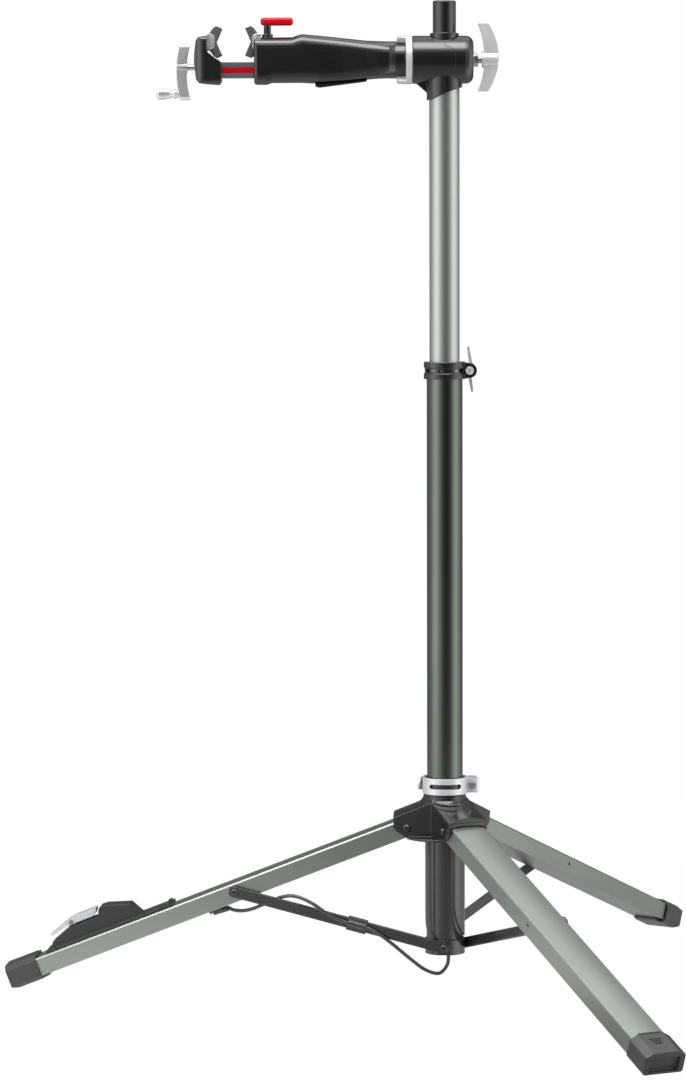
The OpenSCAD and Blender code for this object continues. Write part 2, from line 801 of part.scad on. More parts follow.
module clutch_ring() {
  tab_r = barrel_d / 2 + 0.3;
  color(silver) on_axis() difference() {
    union() {
      rod_x(barrel_d + 1, -clutch_z - clutch_len, -clutch_z);
      // Tabs that hug the top and bottom of the arm's neck
      for (turn = [0, 180])
        rotate([turn, 0, 0]) translate([-clutch_z - clutch_len - clutch_tab, 0, 0]) rotate([0, 90, 0])
          rotate([0, 0, 180 - clutch_tab_angle]) rotate_extrude(angle = 2 * clutch_tab_angle)
            polygon([
              [neck_r + 0.1, 0], [tab_r - 2, 0], [tab_r, 3], [tab_r, clutch_tab + 0.5],
              [neck_r + 0.1, clutch_tab + 0.5]
            ]);
    }
    rod_x(shaft_d, -far, far);
  }
}

// Outline of a V pad that opens towards +x, with its tips at x = 0
module vee_outline() {
  half = jaw_h / 2;
  polygon([
    [0, half], [-vee_depth, 0], [0, -half], [-pad_tip, -half - 3], [-pad_tip - 1.6, -half - 2.6],
    [-vee_depth - pad_t, -half * 0.42], [-vee_depth - pad_t, half * 0.42], [-pad_tip - 1.6, half + 2.6],
    [-pad_tip, half + 3]
  ]);
}

// Holder behind the vertex of a pad that opens towards +x
module jaw_holder(seat) {
  difference() {
    along_y(-jaw_depth / 2 - 0.2, jaw_depth / 2 + 0.2) polygon([
      [-vee_depth - pad_t + 4.2, holder_h / 2 - 3], [-vee_depth - pad_t + 4.2, 3 - holder_h / 2],
      [-vee_depth - pad_t - 1, -holder_h / 2], [seat, -holder_h / 2], [seat, holder_h / 2],
      [-vee_depth - pad_t - 1, holder_h / 2]
    ]);
    along_y(-jaw_depth / 2, jaw_depth / 2) vee_outline();
  }
}

module fixed_jaw_pad() {
  color(rubber) translate([fixed_tip_x, 0, jaw_z]) mirror([1, 0, 0])
    along_y(-jaw_depth / 2, jaw_depth / 2) vee_outline();
}

module fixed_jaw_holder() {
  color(silver) translate([fixed_tip_x, 0, jaw_z]) mirror([1, 0, 0])
    jaw_holder(fixed_tip_x + arm_reach - jaw_notch);
}

module moving_jaw_pad() {
  color(rubber) translate([moving_tip_x, 0, jaw_z]) along_y(-jaw_depth / 2, jaw_depth / 2) vee_outline();
}

module moving_jaw_holder() {
  color(silver) translate([moving_tip_x, 0, jaw_z]) jaw_holder(-vee_depth - pad_t - holder_t);
}

module button_cap() {
  color(red) translate([button_x - 9.5, 0, button_cap_z]) difference() {
    along_y(-button_cap_size.y / 2, button_cap_size.y / 2) {
      translate([2, 0]) square([button_cap_size.x - 4, button_cap_size.z]);
      translate([0, 2]) square([button_cap_size.x, button_cap_size.z - 4]);
      for (x = [2, button_cap_size.x - 2], z = [2, button_cap_size.z - 2]) translate([x, z]) circle(r = 2);
    }
    translate([9.5, 0, -over]) cylinder(d = button_post_d, h = 5 + over);
  }
}

module button_post() {
  foot_z = bar_z + bar_h / 2 + button_travel + 1;
  color(black) translate([button_x, 0, 0]) {
    translate([0, 0, foot_z]) cylinder(d = button_post_d, h = button_cap_z + 5 - foot_z);
    translate([0, 0, button_ledge + button_spring_len]) cylinder(d = button_spring_d, h = button_shoulder);
  }
}

module button_spring() {
  color(steel) translate([button_x, 0, 0]) pipe(
    button_spring_d - 1, button_post_d + 2 * face_gap,
    button_ledge, button_ledge + button_spring_len - face_gap / 3
  );
}

module slide_bar() {
  deep = bar_depth / 2;
  color(dark_grey) difference() {
    box_between(
      [-arm_reach - bar_out, -deep, bar_z - bar_h / 2], [-arm_reach + bar_in, deep, bar_z + bar_h / 2]
    );
    // Grooves for the red stripes on both sides
    for (side = [-1, 1])
      translate([-arm_reach - bar_out + 16, side * deep, bar_z])
        box_between([0, -stripe_t, -stripe_h / 2], [far, stripe_t, stripe_h / 2]);
    translate([0, 0, screw_z]) rod_x(screw_d + 2 * screw_fit, -far, -arm_reach - bar_out + screw_in);
  }
}

module bar_stripe() {
  deep = bar_depth / 2;
  color(red)
    for (side = [-1, 1])
      translate([-arm_reach - bar_out + 16, side * (deep - stripe_t / 2), bar_z])
        box_between(
          [0, -stripe_t / 2, -stripe_h / 2], [bar_in + bar_out - 16, stripe_t / 2, stripe_h / 2]
        );
}

module outer_jaw_body() {
  left = jaw_body_in - jaw_body_len;
  top = head_height + 33;
  bottom = head_height - 33.6;
  deep = jaw_body_depth / 2;
  seat = moving_tip_x - vee_depth - pad_t - holder_t;
  color(black) difference() {
    intersection() {
      along_y(-deep, deep) polygon([
        [left + 3, top - 6], [left + 6, top - 2], [left + 12, top - 0.4], [seat, top],
        [seat, jaw_z - holder_h / 2 - 2], [moving_tip_x - 9, jaw_z - jaw_h / 2 - 4.4],
        [jaw_body_in - 4, jaw_z - jaw_h / 2 - 6.4], [jaw_body_in, jaw_z - jaw_h / 2 - 10],
        [jaw_body_in, bottom + 5], [jaw_body_in - 3, bottom], [left + 16, bottom + 1.5], [left + 6, bottom + 3],
        [left + 3, bottom + 7], [left, head_height - 4], [left + 0.6, head_height + 12]
      ]);
      // Rounded as seen from the crank
      translate([left - over, 0, 0]) along_x(jaw_body_len + 2 * over) {
        translate([-deep + 8, bottom - over]) square([2 * deep - 16, top - bottom + 2 * over]);
        translate([-deep, bottom + 8]) square([2 * deep, top - bottom - 16]);
        for (y = [-deep + 8, deep - 8], z = [bottom + 8, top - 8]) translate([y, z]) circle(r = 8);
      }
      // Rounded towards the crank as seen from above
      translate([0, 0, bottom - over]) linear_extrude(top - bottom + 2 * over) {
        translate([left + jaw_body_r, -deep - over])
          square([jaw_body_len - jaw_body_r + over, 2 * deep + 2 * over]);
        translate([left - over, jaw_body_r - deep]) square([jaw_body_len, 2 * deep - 2 * jaw_body_r]);
        for (y = [jaw_body_r - deep, deep - jaw_body_r])
          translate([left + jaw_body_r, y]) circle(r = jaw_body_r);
      }
    }
    // Pocket for the bar's end and bore for the screw
    box_between(
      [jaw_body_in - jaw_pocket, -bar_depth / 2 - bar_slot_gap, bar_z - bar_h / 2 - bar_slot_gap],
      [far, bar_depth / 2 + bar_slot_gap, bar_z + bar_h / 2 + bar_slot_gap]
    );
    translate([0, 0, screw_z]) rod_x(screw_d + 2 * screw_fit, -2 * far, jaw_body_in - jaw_pocket + over);
  }
}

module crank_screw() {
  left = jaw_body_in - jaw_body_len;
  color(steel) translate([0, 0, screw_z]) {
    rod_x(screw_d, left - crank_gap - 8, jaw_body_in - 1);
  }
}

module crank_lever() {
  from = jaw_body_in - jaw_body_len - crank_gap;
  half = (crank_up + crank_down) / 2;
  mid = (crank_up - crank_down) / 2;
  r = (half * half + crank_bow * crank_bow) / (2 * crank_bow);
  color(silver) translate([from, 0, screw_z]) difference() {
    union() {
      // Bowed arm, round at both ends as seen from the left
      intersection() {
        along_y(-crank_w / 2, crank_w / 2) difference() {
          translate([r - crank_lever_t - crank_back, mid]) circle(r = r, $fn = 360);
          translate([r - crank_back, mid]) circle(r = r, $fn = 360);
        }
        translate([-far / 4, 0, 0]) along_x(far / 2) {
          translate([-crank_w / 2, mid - half + crank_w / 2]) square([crank_w, 2 * half - crank_w]);
          for (z = [mid - half + crank_w / 2, mid + half - crank_w / 2]) translate([0, z]) circle(d = crank_w);
        }
      }
      rod_x(screw_d + 8, -crank_lever_t - crank_back + 0.4, 0);
      // Pin that the knob spins on, with its head
      translate([0, 0, -knob_drop]) {
        rod_x(11, -knob_seat, -4);
        rod_x(knob_pin_d, -knob_seat - knob_len, -4);
        rod_x(knob_pin_d + 3, -knob_seat - knob_len - 1.2, -knob_seat - knob_len);
      }
    }
    rod_x(screw_d, -8, far);
  }
}

module crank_knob() {
  from = jaw_body_in - jaw_body_len - crank_gap - knob_seat - face_gap;
  r = knob_d / 2;
  len = knob_len - 2 * face_gap;
  hole = knob_pin_d / 2 + run_fit;
  color(silver) translate([from, 0, screw_z - knob_drop]) rotate([0, -90, 0]) rotate_extrude() polygon([
    [hole, 0], [r - 2, 0], [r - 1.2, 2.5], [r - 1.2, 4], [r - 3.2, 6], [r - 3.2, 7.5], [r - 1, 9.5],
    [r - 0.8, len - 10.5], [r - 0.2, len - 9.5], [r, len - 1], [r - 1, len], [hole, len]
  ]);
}

module tension_handle() {
  half = handle_span / 2;
  outer_r = (half * half + handle_bulge_out * handle_bulge_out) / (2 * handle_bulge_out);
  inner_r = (half * half + handle_bulge_in * handle_bulge_in) / (2 * handle_bulge_in);
  color(silver) translate([handle_x, 0, head_height]) difference() {
    union() {
      // Crescent wing, thick in the middle
      along_y(-handle_t / 2, handle_t / 2) intersection() {
        difference() {
          translate([handle_deep - outer_r, handle_rise]) circle(r = outer_r, $fn = 360);
          translate([-inner_r, handle_rise]) circle(r = inner_r, $fn = 360);
        }
        translate([-far / 4, handle_rise - half]) square([far / 2, 2 * half]);
      }
      rod_x(handle_boss_d, -4, handle_deep - 1);
    }
    rod_x(stud_d + 2 * run_fit, -far, handle_deep - 3);
  }
}

// Hub

function roof_z(r) = leg_pivot_z + hood_top + (leg_pivot_r + hood_reach - r) * tan(hood_slope);

module hub_casting() {
  root = hub_bore / 5;
  tip = leg_pivot_r + hood_reach;
  color(dark_grey) difference() {
    union() {
      translate([0, 0, leg_pivot_z]) cylinder(d = hub_neck_d, h = hub_ring_z - leg_pivot_z);
      translate([0, 0, hub_ring_z - 3]) cylinder(d = hub_collar_d, h = hub_ring_len + 1);
      translate([0, 0, hub_bottom]) cylinder(d = hub_flange_d, h = hub_flange);
      // Three hoods whose crowned roofs follow the legs
      for (i = [0 : 2])
        intersection() {
          at_leg(i) along_y(-hood_out, hood_out) polygon([
            [root, roof_z(root) + 4], [tip, leg_pivot_z + hood_top + 4],
            [tip - 2.7, leg_pivot_z - 1.8], [leg_pivot_r + 1, leg_pivot_z - 13.5],
            [leg_pivot_r, hub_bottom + hub_flange / 2], [root, hub_bottom + hub_flange / 2]
          ]);
          at_leg(i) translate([tip, 0, leg_pivot_z + hood_top]) rotate([0, hood_slope, 0])
            translate([0, 0, -hood_crown_r]) rod_x(2 * hood_crown_r, -far / 2, far / 2);
        }
    }
    translate([0, 0, hub_bottom - over]) cylinder(d = hub_bore, h = far);
    // Slot that each leg swings in, and its pivot holes
    for (i = [0 : 2]) {
      intersection() {
        at_leg(i) box_between([leg_pivot_r - leg_swing_r - 1, -hood_in, 0], [far, hood_in, far]);
        on_leg(i) box_between([-far, -far, -far], [far, far, hood_roof_in]);
      }
      on_leg(i) rod_y(pivot_bolt_d + 2 * run_fit, -hood_out - over, hood_out + over);
    }
    // Slit that the clamp ring closes
    box_between([0, -clamp_slit / 2, hub_ring_z - 6], [far / 8, clamp_slit / 2, far]);
  }
}

module hub_clamp_ring() {
  mid = hub_ring_z + hub_ring_len / 2;
  bore = hub_collar_d + 2 * face_gap / 3;
  color(silver) difference() {
    union() {
      translate([0, 0, hub_ring_z]) cylinder(d = hub_ring_d, h = hub_ring_len);
      box_between(
        [0, -ear_gap / 2 - ear_t, mid - ear_h / 2], [ear_x + 6, ear_gap / 2 + ear_t, mid + ear_h / 2]
      );
      // Rolled barrel on the near ear
      translate([ear_x + 5, -ear_gap / 2 - ear_t / 2, mid - ear_h / 2]) cylinder(d = ear_t + 2, h = ear_h);
    }
    translate([0, 0, hub_ring_z - over]) cylinder(d = bore, h = hub_ring_len + 2 * over);
    box_between([0, -ear_gap / 2, 0], [far, ear_gap / 2, far]);
    translate([ear_x, 0, mid]) rod_y(pivot_bolt_d + 2 * run_fit, -far, far);
    // Window with round ends in front
    translate([0, 0, mid]) along_y(-far, 0) {
      square([window_w - window_h, window_h], center = true);
      for (x = [-1, 1]) translate([x * (window_w - window_h) / 2, 0]) circle(d = window_h);
    }
    // Grooves across the near ear
    for (x = [-3.4, 3.4])
      box_between(
        [ear_x + x - 1.2, -far, mid - window_h / 2],
        [ear_x + x + 1.2, -ear_gap / 2 - ear_t + 2, mid + window_h / 2]
      );
  }
}

module hub_clamp_bolt() {
  mid = hub_ring_z + hub_ring_len / 2;
  near = -ear_gap / 2 - ear_t;
  color(steel) {
    translate([ear_x, 0, mid]) {
      rod_y(pivot_bolt_d, near, cam_y - cam_d / 4 - face_gap);
      rod_y(9, near - 2.5, near);
    }
  }
}

module hub_clamp_lever() {
  mid = hub_ring_z + hub_ring_len / 2;
  from = atan2(cam_y, ear_x) + 3;
  color(silver) difference() {
    union() {
      // Lever that wraps round the back of the ring
      translate([0, 0, mid - hub_lever_h / 2]) rotate([0, 0, from]) rotate_extrude(angle = hub_lever_end - from)
        translate([hub_lever_r, 0]) square([hub_lever_t, hub_lever_h]);
      rotate([0, 0, hub_lever_end]) translate([0, 0, mid])
        rod_x(hub_lever_h - 1, hub_lever_r + 0.4, hub_lever_r + hub_lever_t - 0.6);
      translate([ear_x, cam_y, mid - hub_lever_h / 2 - 0.5]) cylinder(d = cam_d, h = hub_lever_h + 1);
    }
    // Fork that straddles the bolt's end, open on its outer side so that the lever can turn
    translate([ear_x, cam_y, mid - pivot_bolt_d / 2 - face_gap]) linear_extrude(pivot_bolt_d + 2 * face_gap)
      polygon([[-far / 8, -cam_y], [far / 8, -cam_y], [far / 8, far / 8], [0, far / 8], [0, 0], [-far / 8, 0]]);
  }
}

module leg_pivot_bolts() {
  color(steel)
    for (i = [0 : 2])
      on_leg(i) {
        rod_y(pivot_bolt_d, -hood_out, hood_out);
        translate([0, hood_out, 0]) rotate([-90, 0, 0]) button_head(bolt_head_d, bolt_head_h);
        translate([0, -hood_out, 0]) rotate([90, 0, 0]) button_head(bolt_head_d, bolt_head_h);
      }
}

// Legs

module leg_outline(grow) {
  side = leg_w / 2 + grow;
  low = -leg_t / 2 - grow;
  shoulder = leg_top - crown_r + sqrt(pow(crown_r + grow, 2) - side * side) - leg_edge;
  lift = leg_crown + leg_edge + 1;
  intersection() {
    polygon([
      [-side, low], [side, low], [side, shoulder], [side - lift, shoulder + lift],
      [lift - side, shoulder + lift], [-side, shoulder]
    ]);
    translate([0, leg_top - crown_r]) circle(r = crown_r + grow, $fn = 360);
  }
}

module leg(i) {
  color(anodised) on_leg(i) difference() {
    translate([-leg_tail, 0, 0]) along_x(leg_len + leg_tail) leg_outline(0);
    translate([-leg_tail - over, 0, 0]) along_x(leg_len + leg_tail + 2 * over) leg_outline(-leg_wall);
    rod_y(pivot_bolt_d + 2 * run_fit, -far, far);
    // Brace pin, which comes out as a small round end on the other side
    translate([leg_pin_along, 0, leg_pin_up]) {
      rod_y(pivot_bolt_d, 0, far);
      rod_y(pivot_bolt_d - 1, -far, 0);
    }
  }
}

module leg_left() { leg(0); }

module leg_front() { leg(1); }

module leg_rear() { leg(2); }

// Cap section with a flat top, bevelled shoulders and bevelled lower corners
module cap_outline() {
  side = leg_w / 2 + cap_wall;
  top = leg_top + cap_wall;
  polygon([
    [-side + 11, top], [side - 11, top], [side, leg_t / 2 - 0.8], [side, -leg_t / 2 + 1.3],
    [side - 6.8, -cap_low], [6.8 - side, -cap_low], [-side, -leg_t / 2 + 1.3], [-side, leg_t / 2 - 0.8]
  ]);
}

module foot_cap(i) {
  from = leg_len - cap_sleeve;
  side = leg_w / 2 + cap_wall;
  color(black) difference() {
    on_leg(i) difference() {
      union() {
        translate([from, 0, 0]) along_x(cap_end - from) cap_outline();
        // Tongue over the leg and lip under it
        box_between([from - 4, 13 - side, leg_top - 2], [from + over, side - 13, leg_top + cap_wall - 0.6]);
        along_y(11 - side, side - 11) polygon([
          [from - 12, -leg_t / 2], [from - 10, -cap_low + 1], [from, -cap_low], [from + over, -leg_t / 2]
        ]);
      }
      translate([from - far, 0, 0]) along_x(far + cap_sleeve) leg_outline(0);
      // Recess in the end face
      box_between([cap_end - 5, 8 - side, -leg_t / 2 + 2], [cap_end + over, side - 8, leg_t / 2 - 3]);
      // Three short grip lines on top
      for (k = [0 : 2])
        translate([from + 13 + 5 * k, 0, leg_top + cap_wall]) cube([2.4, grip_w - 4 * k, 4.4], center = true);
    }
    box_between([-4 * far, -4 * far, -far], [4 * far, 4 * far, 0]);
  }
}

module cap_left() { foot_cap(0); }

module cap_front() { foot_cap(1); }

module cap_rear() { foot_cap(2); }

// Braces

module brace(i) {
  color(dark_grey) on_brace(i) along_y(brace_in, brace_out) difference() {
    union() {
      translate([0, -brace_w / 2]) square([brace_len, brace_w]);
      circle(d = brace_w + 1);
      translate([brace_len, 0]) circle(d = brace_w + 1);
    }
    circle(d = pivot_bolt_d);
    translate([brace_len, 0]) circle(d = pivot_bolt_d);
  }
}

module brace_left() { brace(0); }

module brace_front() { brace(1); }

module brace_rear() { brace(2); }

module brace_bolts(i) {
  color(steel) on_brace(i) {
    rod_y(pivot_bolt_d, brace_bolt_in, brace_out);
    translate([brace_len, 0, 0]) rod_y(pivot_bolt_d, brace_in, brace_out);
    for (x = [0, brace_len])
      translate([x, brace_out, 0]) rotate([-90, 0, 0]) button_head(bolt_head_d, bolt_head_h);
  }
}

module brace_left_bolts() { brace_bolts(0); }

module brace_front_bolts() { brace_bolts(1); }

module brace_rear_bolts() { brace_bolts(2); }

// Pedal, on top of the left leg

module on_pedal() { on_leg(0) translate([pedal_out, 0, 0]) mirror([1, 0, 0]) children(); }

module pedal_housing() {
  color(black) on_pedal() difference() {
    union() {
      // Base plate along the leg
      along_y(-pedal_base_w / 2, pedal_base_w / 2)
        polygon([[0, 10], [192, 10], [192, 17.6], [150, 17.6], [0, 17.6]]);
      along_y(-5, 5) polygon([[150, 15], [192, 15], [192, 22], [188, 22], [184, 19]]);
      // Body under and behind the pedal
      along_y(-pedal_housing_w / 2, pedal_housing_w / 2) polygon([
        [4, 15], [10, 22], [13, 26], [38, 35], [46, 36.6], [83, 36.6], [88, 39.5], [90.6, 45.6], [94, 48.2],
        [103, 47.6], [135.4, 37], [145, 19], [146, 15]
      ]);
      // Lug that holds the pin between the pedal's flanges
      along_y(-pedal_lug_w / 2, pedal_lug_w / 2) {
        polygon([[34, 20], [pedal_pin_at.x - 2.4, pedal_pin_at.y], [pedal_pin_at.x + 2.4, pedal_pin_at.y], [60, 20]]);
        translate(pedal_pin_at) circle(r = 2.4);
      }
    }
    translate([-over, 0, 0]) along_x(far) leg_outline(0.1);
    translate([pedal_pin_at.x, 0, pedal_pin_at.y]) rod_y(pedal_pin_d, -far, far);
  }
}

module pedal() {
  color(silver) on_pedal() difference() {
    along_y(-pedal_w / 2, pedal_w / 2) polygon([
      [87.6, 48.6], [56, 48.6], [43, 46.4], [13.4, 36.4], [14.6, 33.4], [38.7, 39.2], [42, 38.2], [51, 38.2],
      [54, 39], [78, 39], [82, 40], [86, 44.4]
    ]);
    along_y(-pedal_w / 2 + pedal_sheet, pedal_w / 2 - pedal_sheet) polygon([
      [far, 48.6 - pedal_sheet], [56, 48.6 - pedal_sheet], [43.6, 46.4 - pedal_sheet], [16, 35], [15, 30],
      [40, 20], [far, 20]
    ]);
    translate([pedal_pin_at.x, 0, pedal_pin_at.y]) rod_y(pedal_pin_d + 2 * run_fit, -far, far);
  }
}

module pedal_pin() {
  half = pedal_w / 2;
  color(brass) on_pedal() translate([pedal_pin_at.x, 0, pedal_pin_at.y]) {
    rod_y(pedal_pin_d, -half, half);
    rod_y(pedal_pin_d + 2.4, half + face_gap, half + 1.6);
    rod_y(pedal_pin_d, half - over, half + 1.6);
    rod_y(pedal_pin_d, -half - 1.6, 1 - half);
    rod_y(pedal_pin_d + 2.4, -half - 1.6, -half - face_gap);
  }
}

// Release cable

module cable_gland() {
  color(black) on_leg(0) difference() {
    union() {
      translate([gland_at.x, gland_at.z, gland_at.y]) rotate([0, -4, 0]) rod_x(gland_d, -gland_len, 0);
      box_between(
        [gland_at.x - 14, gland_at.z - 8, -leg_t / 2 - 4], [gland_at.x + 4, gland_at.z + 8, -leg_t / 2]
      );
    }
    box_between([0, -far, -leg_t / 2], [far, far, far]);
    // Mouth that the cable leaves by
    translate([gland_at.x, gland_at.z, gland_at.y]) rotate([0, -4, 0])
      rod_x(cable_d + 1.4, -gland_len - over, -gland_len + 9);
  }
}

module cable_clip() {
  half = brace_w / 2 + clip_wall;
  color(black) on_brace(0) difference() {
    union() {
      box_between(
        [clip_at - clip_len / 2, brace_in - clip_wall, -half],
        [clip_at + clip_len / 2, brace_out + clip_wall, half]
      );
      translate([0, clip_cable_side, clip_cable_up])
        rod_x(cable_d + 5, clip_at - clip_len / 2 + 0.8, clip_at + clip_len / 2 - 0.8);
    }
    box_between([0, brace_in, -brace_w / 2], [brace_len, brace_out, brace_w / 2]);
    translate([0, clip_cable_side, clip_cable_up]) rod_x(cable_d + 2.2, 0, brace_len);
  }
}

module release_cable() { color(black) cord(smooth(cable_route, cable_steps), cable_d, cable_sides); }

lower_tube();
spine_tube();
brace_collar();
base_plug();
gas_spring_rod();
guide_bush();
height_collar();
height_bolt();
height_wing_nut();
valve_lever();
gas_spring_cylinder();
slide_bush();
upper_tube();
head_casting();
shaft_bushes();
top_post();
arm_shell_near();
arm_shell_far();
arm_lower_plate();
arm_shaft();
clutch_ring();
fixed_jaw_pad();
fixed_jaw_holder();
button_cap();
button_post();
button_spring();
slide_bar();
bar_stripe();
outer_jaw_body();
moving_jaw_pad();
moving_jaw_holder();
crank_screw();
crank_lever();
crank_knob();
tension_handle();
hub_casting();
hub_clamp_ring();
hub_clamp_bolt();
hub_clamp_lever();
leg_pivot_bolts();
leg_left();
leg_front();
leg_rear();
cap_left();
cap_front();
cap_rear();
brace_left();
brace_front();
brace_rear();
brace_left_bolts();
brace_front_bolts();
brace_rear_bolts();
pedal_housing();
pedal();
pedal_pin();
cable_gland();
cable_clip();
release_cable();
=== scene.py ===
"""Looks of a folding bicycle repair stand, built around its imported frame."""

import math

import bmesh
import bpy
from bpy.props import FloatProperty, FloatVectorProperty, IntProperty, PointerProperty
from mathutils import Matrix, Vector


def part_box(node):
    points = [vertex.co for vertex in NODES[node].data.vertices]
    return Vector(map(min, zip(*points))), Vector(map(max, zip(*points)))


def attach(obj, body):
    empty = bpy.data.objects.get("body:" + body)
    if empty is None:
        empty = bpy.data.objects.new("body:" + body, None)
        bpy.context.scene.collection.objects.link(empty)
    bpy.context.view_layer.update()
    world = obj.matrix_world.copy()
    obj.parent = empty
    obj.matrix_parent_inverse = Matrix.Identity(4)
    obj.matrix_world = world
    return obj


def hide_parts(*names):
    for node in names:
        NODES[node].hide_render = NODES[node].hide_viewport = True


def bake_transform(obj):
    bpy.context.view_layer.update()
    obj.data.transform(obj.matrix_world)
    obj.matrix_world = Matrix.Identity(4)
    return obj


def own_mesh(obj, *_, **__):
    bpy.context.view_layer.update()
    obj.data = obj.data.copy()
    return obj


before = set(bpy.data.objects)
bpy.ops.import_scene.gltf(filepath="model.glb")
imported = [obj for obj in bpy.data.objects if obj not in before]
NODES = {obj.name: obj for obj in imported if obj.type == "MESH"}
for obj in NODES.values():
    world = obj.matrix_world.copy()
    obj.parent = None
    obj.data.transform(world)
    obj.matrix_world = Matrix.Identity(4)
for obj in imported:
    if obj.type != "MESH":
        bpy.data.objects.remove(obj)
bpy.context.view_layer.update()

bl_info = {
    "name": "Bicycle repair stand",
    "version": (1, 0, 0),
    "blender": (4, 5, 0),
    "location": "View3D > Sidebar > Repair stand",
    "description": "Finishes, cable and studio for a folding bicycle repair stand",
    "category": "Object",
}

# Direction in which each leg points, in degrees from +X, and its slope down to the floor
LEG_TURNS = {"leg_left": 175.4, "leg_front": 295.4, "leg_rear": 55.4}
LEG_SLOPE = 21.4
# Legs in the hub, in metres: distance and height of their pivots, then the half width, top, crown and chamfer
# of their tube
PIVOT_R, PIVOT_Z = 0.0518, 0.234142
LEG_HALF, LEG_TOP, LEG_CROWN_R, LEG_EDGE = 0.0255, 0.0144, 0.204, 0.0017
# Roof of each hood of the hub: its height over the pivot at its outer end, its reach, slope and crown
ROOF_TOP, ROOF_REACH, ROOF_SLOPE, ROOF_CROWN_R = 0.0193, 0.0718, 22.0, 0.09
# Radius of the hub's neck, between the roofs
NECK_R = 0.0297
# Head: height of its axis, and radius of its barrel and of its socket
HEAD_Z, BARREL_R, SOCKET_R = 1.302, 0.033, 0.0245
# Clamp ring on the hub: place of its ear's bolt, and bottom of the grooves in its ear
EAR_X, EAR_Z, EAR_GROOVE_Y = 0.038, 0.29194, -0.008

# Metal that shows where paint is rubbed off, and along the hub's edges partly painted highlight
BARE_METAL = (0.34, 0.35, 0.35)

# Middle line of the release cable from its gland to the plug in the column, in metres
CABLE_ROUTE = [
    (-0.306, 0.0155, 0.116), (-0.298, 0.013, 0.1125), (-0.284, 0.009, 0.112), (-0.268, 0.0045, 0.1165),
    (-0.247, -0.001, 0.1265), (-0.227, -0.0065, 0.1345), (-0.209, -0.0145, 0.136), (-0.187, -0.021, 0.1275),
    (-0.162, -0.023, 0.1105), (-0.137, -0.0234, 0.100), (-0.110, -0.0256, 0.093), (-0.092, -0.028, 0.084),
    (-0.072, -0.030, 0.069), (-0.048, -0.028, 0.0485), (-0.028, -0.023, 0.033), (-0.009, -0.0175, 0.027),
    (0.0025, -0.0145, 0.038), (0.0045, -0.014, 0.053), (0.0045, -0.014, 0.066),
]


def rgb(name, words, value):
    """Colour property with the given default."""
    return FloatVectorProperty(
        name=name, description=words, subtype="COLOR", size=3, default=value, min=0, max=1)


def share(name, words, value):
    """Number from 0 to 1."""
    return FloatProperty(name=name, description=words, subtype="FACTOR", default=value, min=0, max=1)


def length(name, words, value, low=0.0, high=10.0):
    """Length in metres."""
    return FloatProperty(
        name=name, description=words, subtype="DISTANCE", unit="LENGTH", default=value, min=low, max=high,
        precision=5)


class StandFinishes(bpy.types.PropertyGroup):
    """Colours and roughness of the stand's finishes."""

    tube_grey: rgb("Tube grey", "Anodised upper tube", (0.428, 0.457, 0.426))
    tube_roughness: share("Tube roughness", "Roughness of the upper tube", 0.37)
    # Legs: the same anodised finish as the upper tube, in a darker grey that is painted shade
    leg_shade_grey: rgb("Leg grey", "Anodised legs", (0.312, 0.342, 0.311))
    leg_roughness: share("Leg roughness", "Roughness of the legs", 0.36)
    tube_dark: rgb("Dark tube", "Dark anodised lower tube", (0.128, 0.144, 0.127))
    tube_dark_roughness: share("Dark tube roughness", "Roughness of the dark tube", 0.2)
    casting_dark: rgb("Dark casting", "Painted spine, collar and braces", (0.016, 0.0163, 0.0168))
    # Hub: the dark casting paint made darker, painted shade
    hub_shaded_colour: rgb("Hub", "Painted hub", (0.0105, 0.0106, 0.0108))
    casting_black: rgb("Black casting", "Painted head, arm and jaw", (0.003, 0.003, 0.0031))
    plastic_black: rgb("Black plastic", "Caps, plug, gland and clip", (0.022, 0.022, 0.0225))
    # Pedal housing: the black plastic made darker, painted shade
    housing_shaded_colour: rgb("Housing plastic", "Pedal housing", (0.011, 0.011, 0.0112))
    metal_pale: rgb("Pale metal", "Blasted aluminium levers and rings", (0.64, 0.655, 0.67))
    pedal: rgb("Pedal", "Smooth pressed sheet of the pedal", (0.56, 0.585, 0.61))
    metal_bright: rgb("Bright metal", "Polished crank and jaw holders", (0.82, 0.835, 0.85))
    steel: rgb("Steel", "Plated bolts and shafts", (0.6, 0.61, 0.62))
    oxide: rgb("Black oxide", "Dark pivot bolts", (0.1, 0.1, 0.102))
    bar: rgb("Jaw bar", "Sliding bar of the jaw", (0.085, 0.105, 0.12))
    rubber: rgb("Pad rubber", "Grey rubber of the jaw pads", (0.055, 0.055, 0.057))
    red: rgb("Red", "Button cap and stripe", (0.44, 0.0005, 0.007))
    brass: rgb("Brass", "Pedal pin", (0.36, 0.25, 0.13))
    nylon: rgb("Nylon", "Bushes inside the column and head", (0.78, 0.76, 0.7))
    cable: rgb("Cable skin", "Black skin of the release cable", (0.02, 0.02, 0.0208))
    # On the hub twice as much of it shows as on the other castings, so its rubbed edges are partly painted
    # highlight.
    edge_wear: share("Edge wear", "How far worn edges show", 0.35)


class StandSizes(bpy.types.PropertyGroup):
    """Small sizes that the looks add to the frame."""

    cable_d: length("Cable diameter", "Outside of the release cable", 0.005, 0.003, 0.008)
    cable_sides: IntProperty(
        name="Cable sides", description="Facets round the cable", default=20, min=8, max=48)
    edge_fine: length("Fine edge", "Rounding on small metal pieces", 0.0003, 0.0, 0.002)
    edge_soft: length("Soft edge", "Rounding on castings and mouldings", 0.0009, 0.0, 0.004)


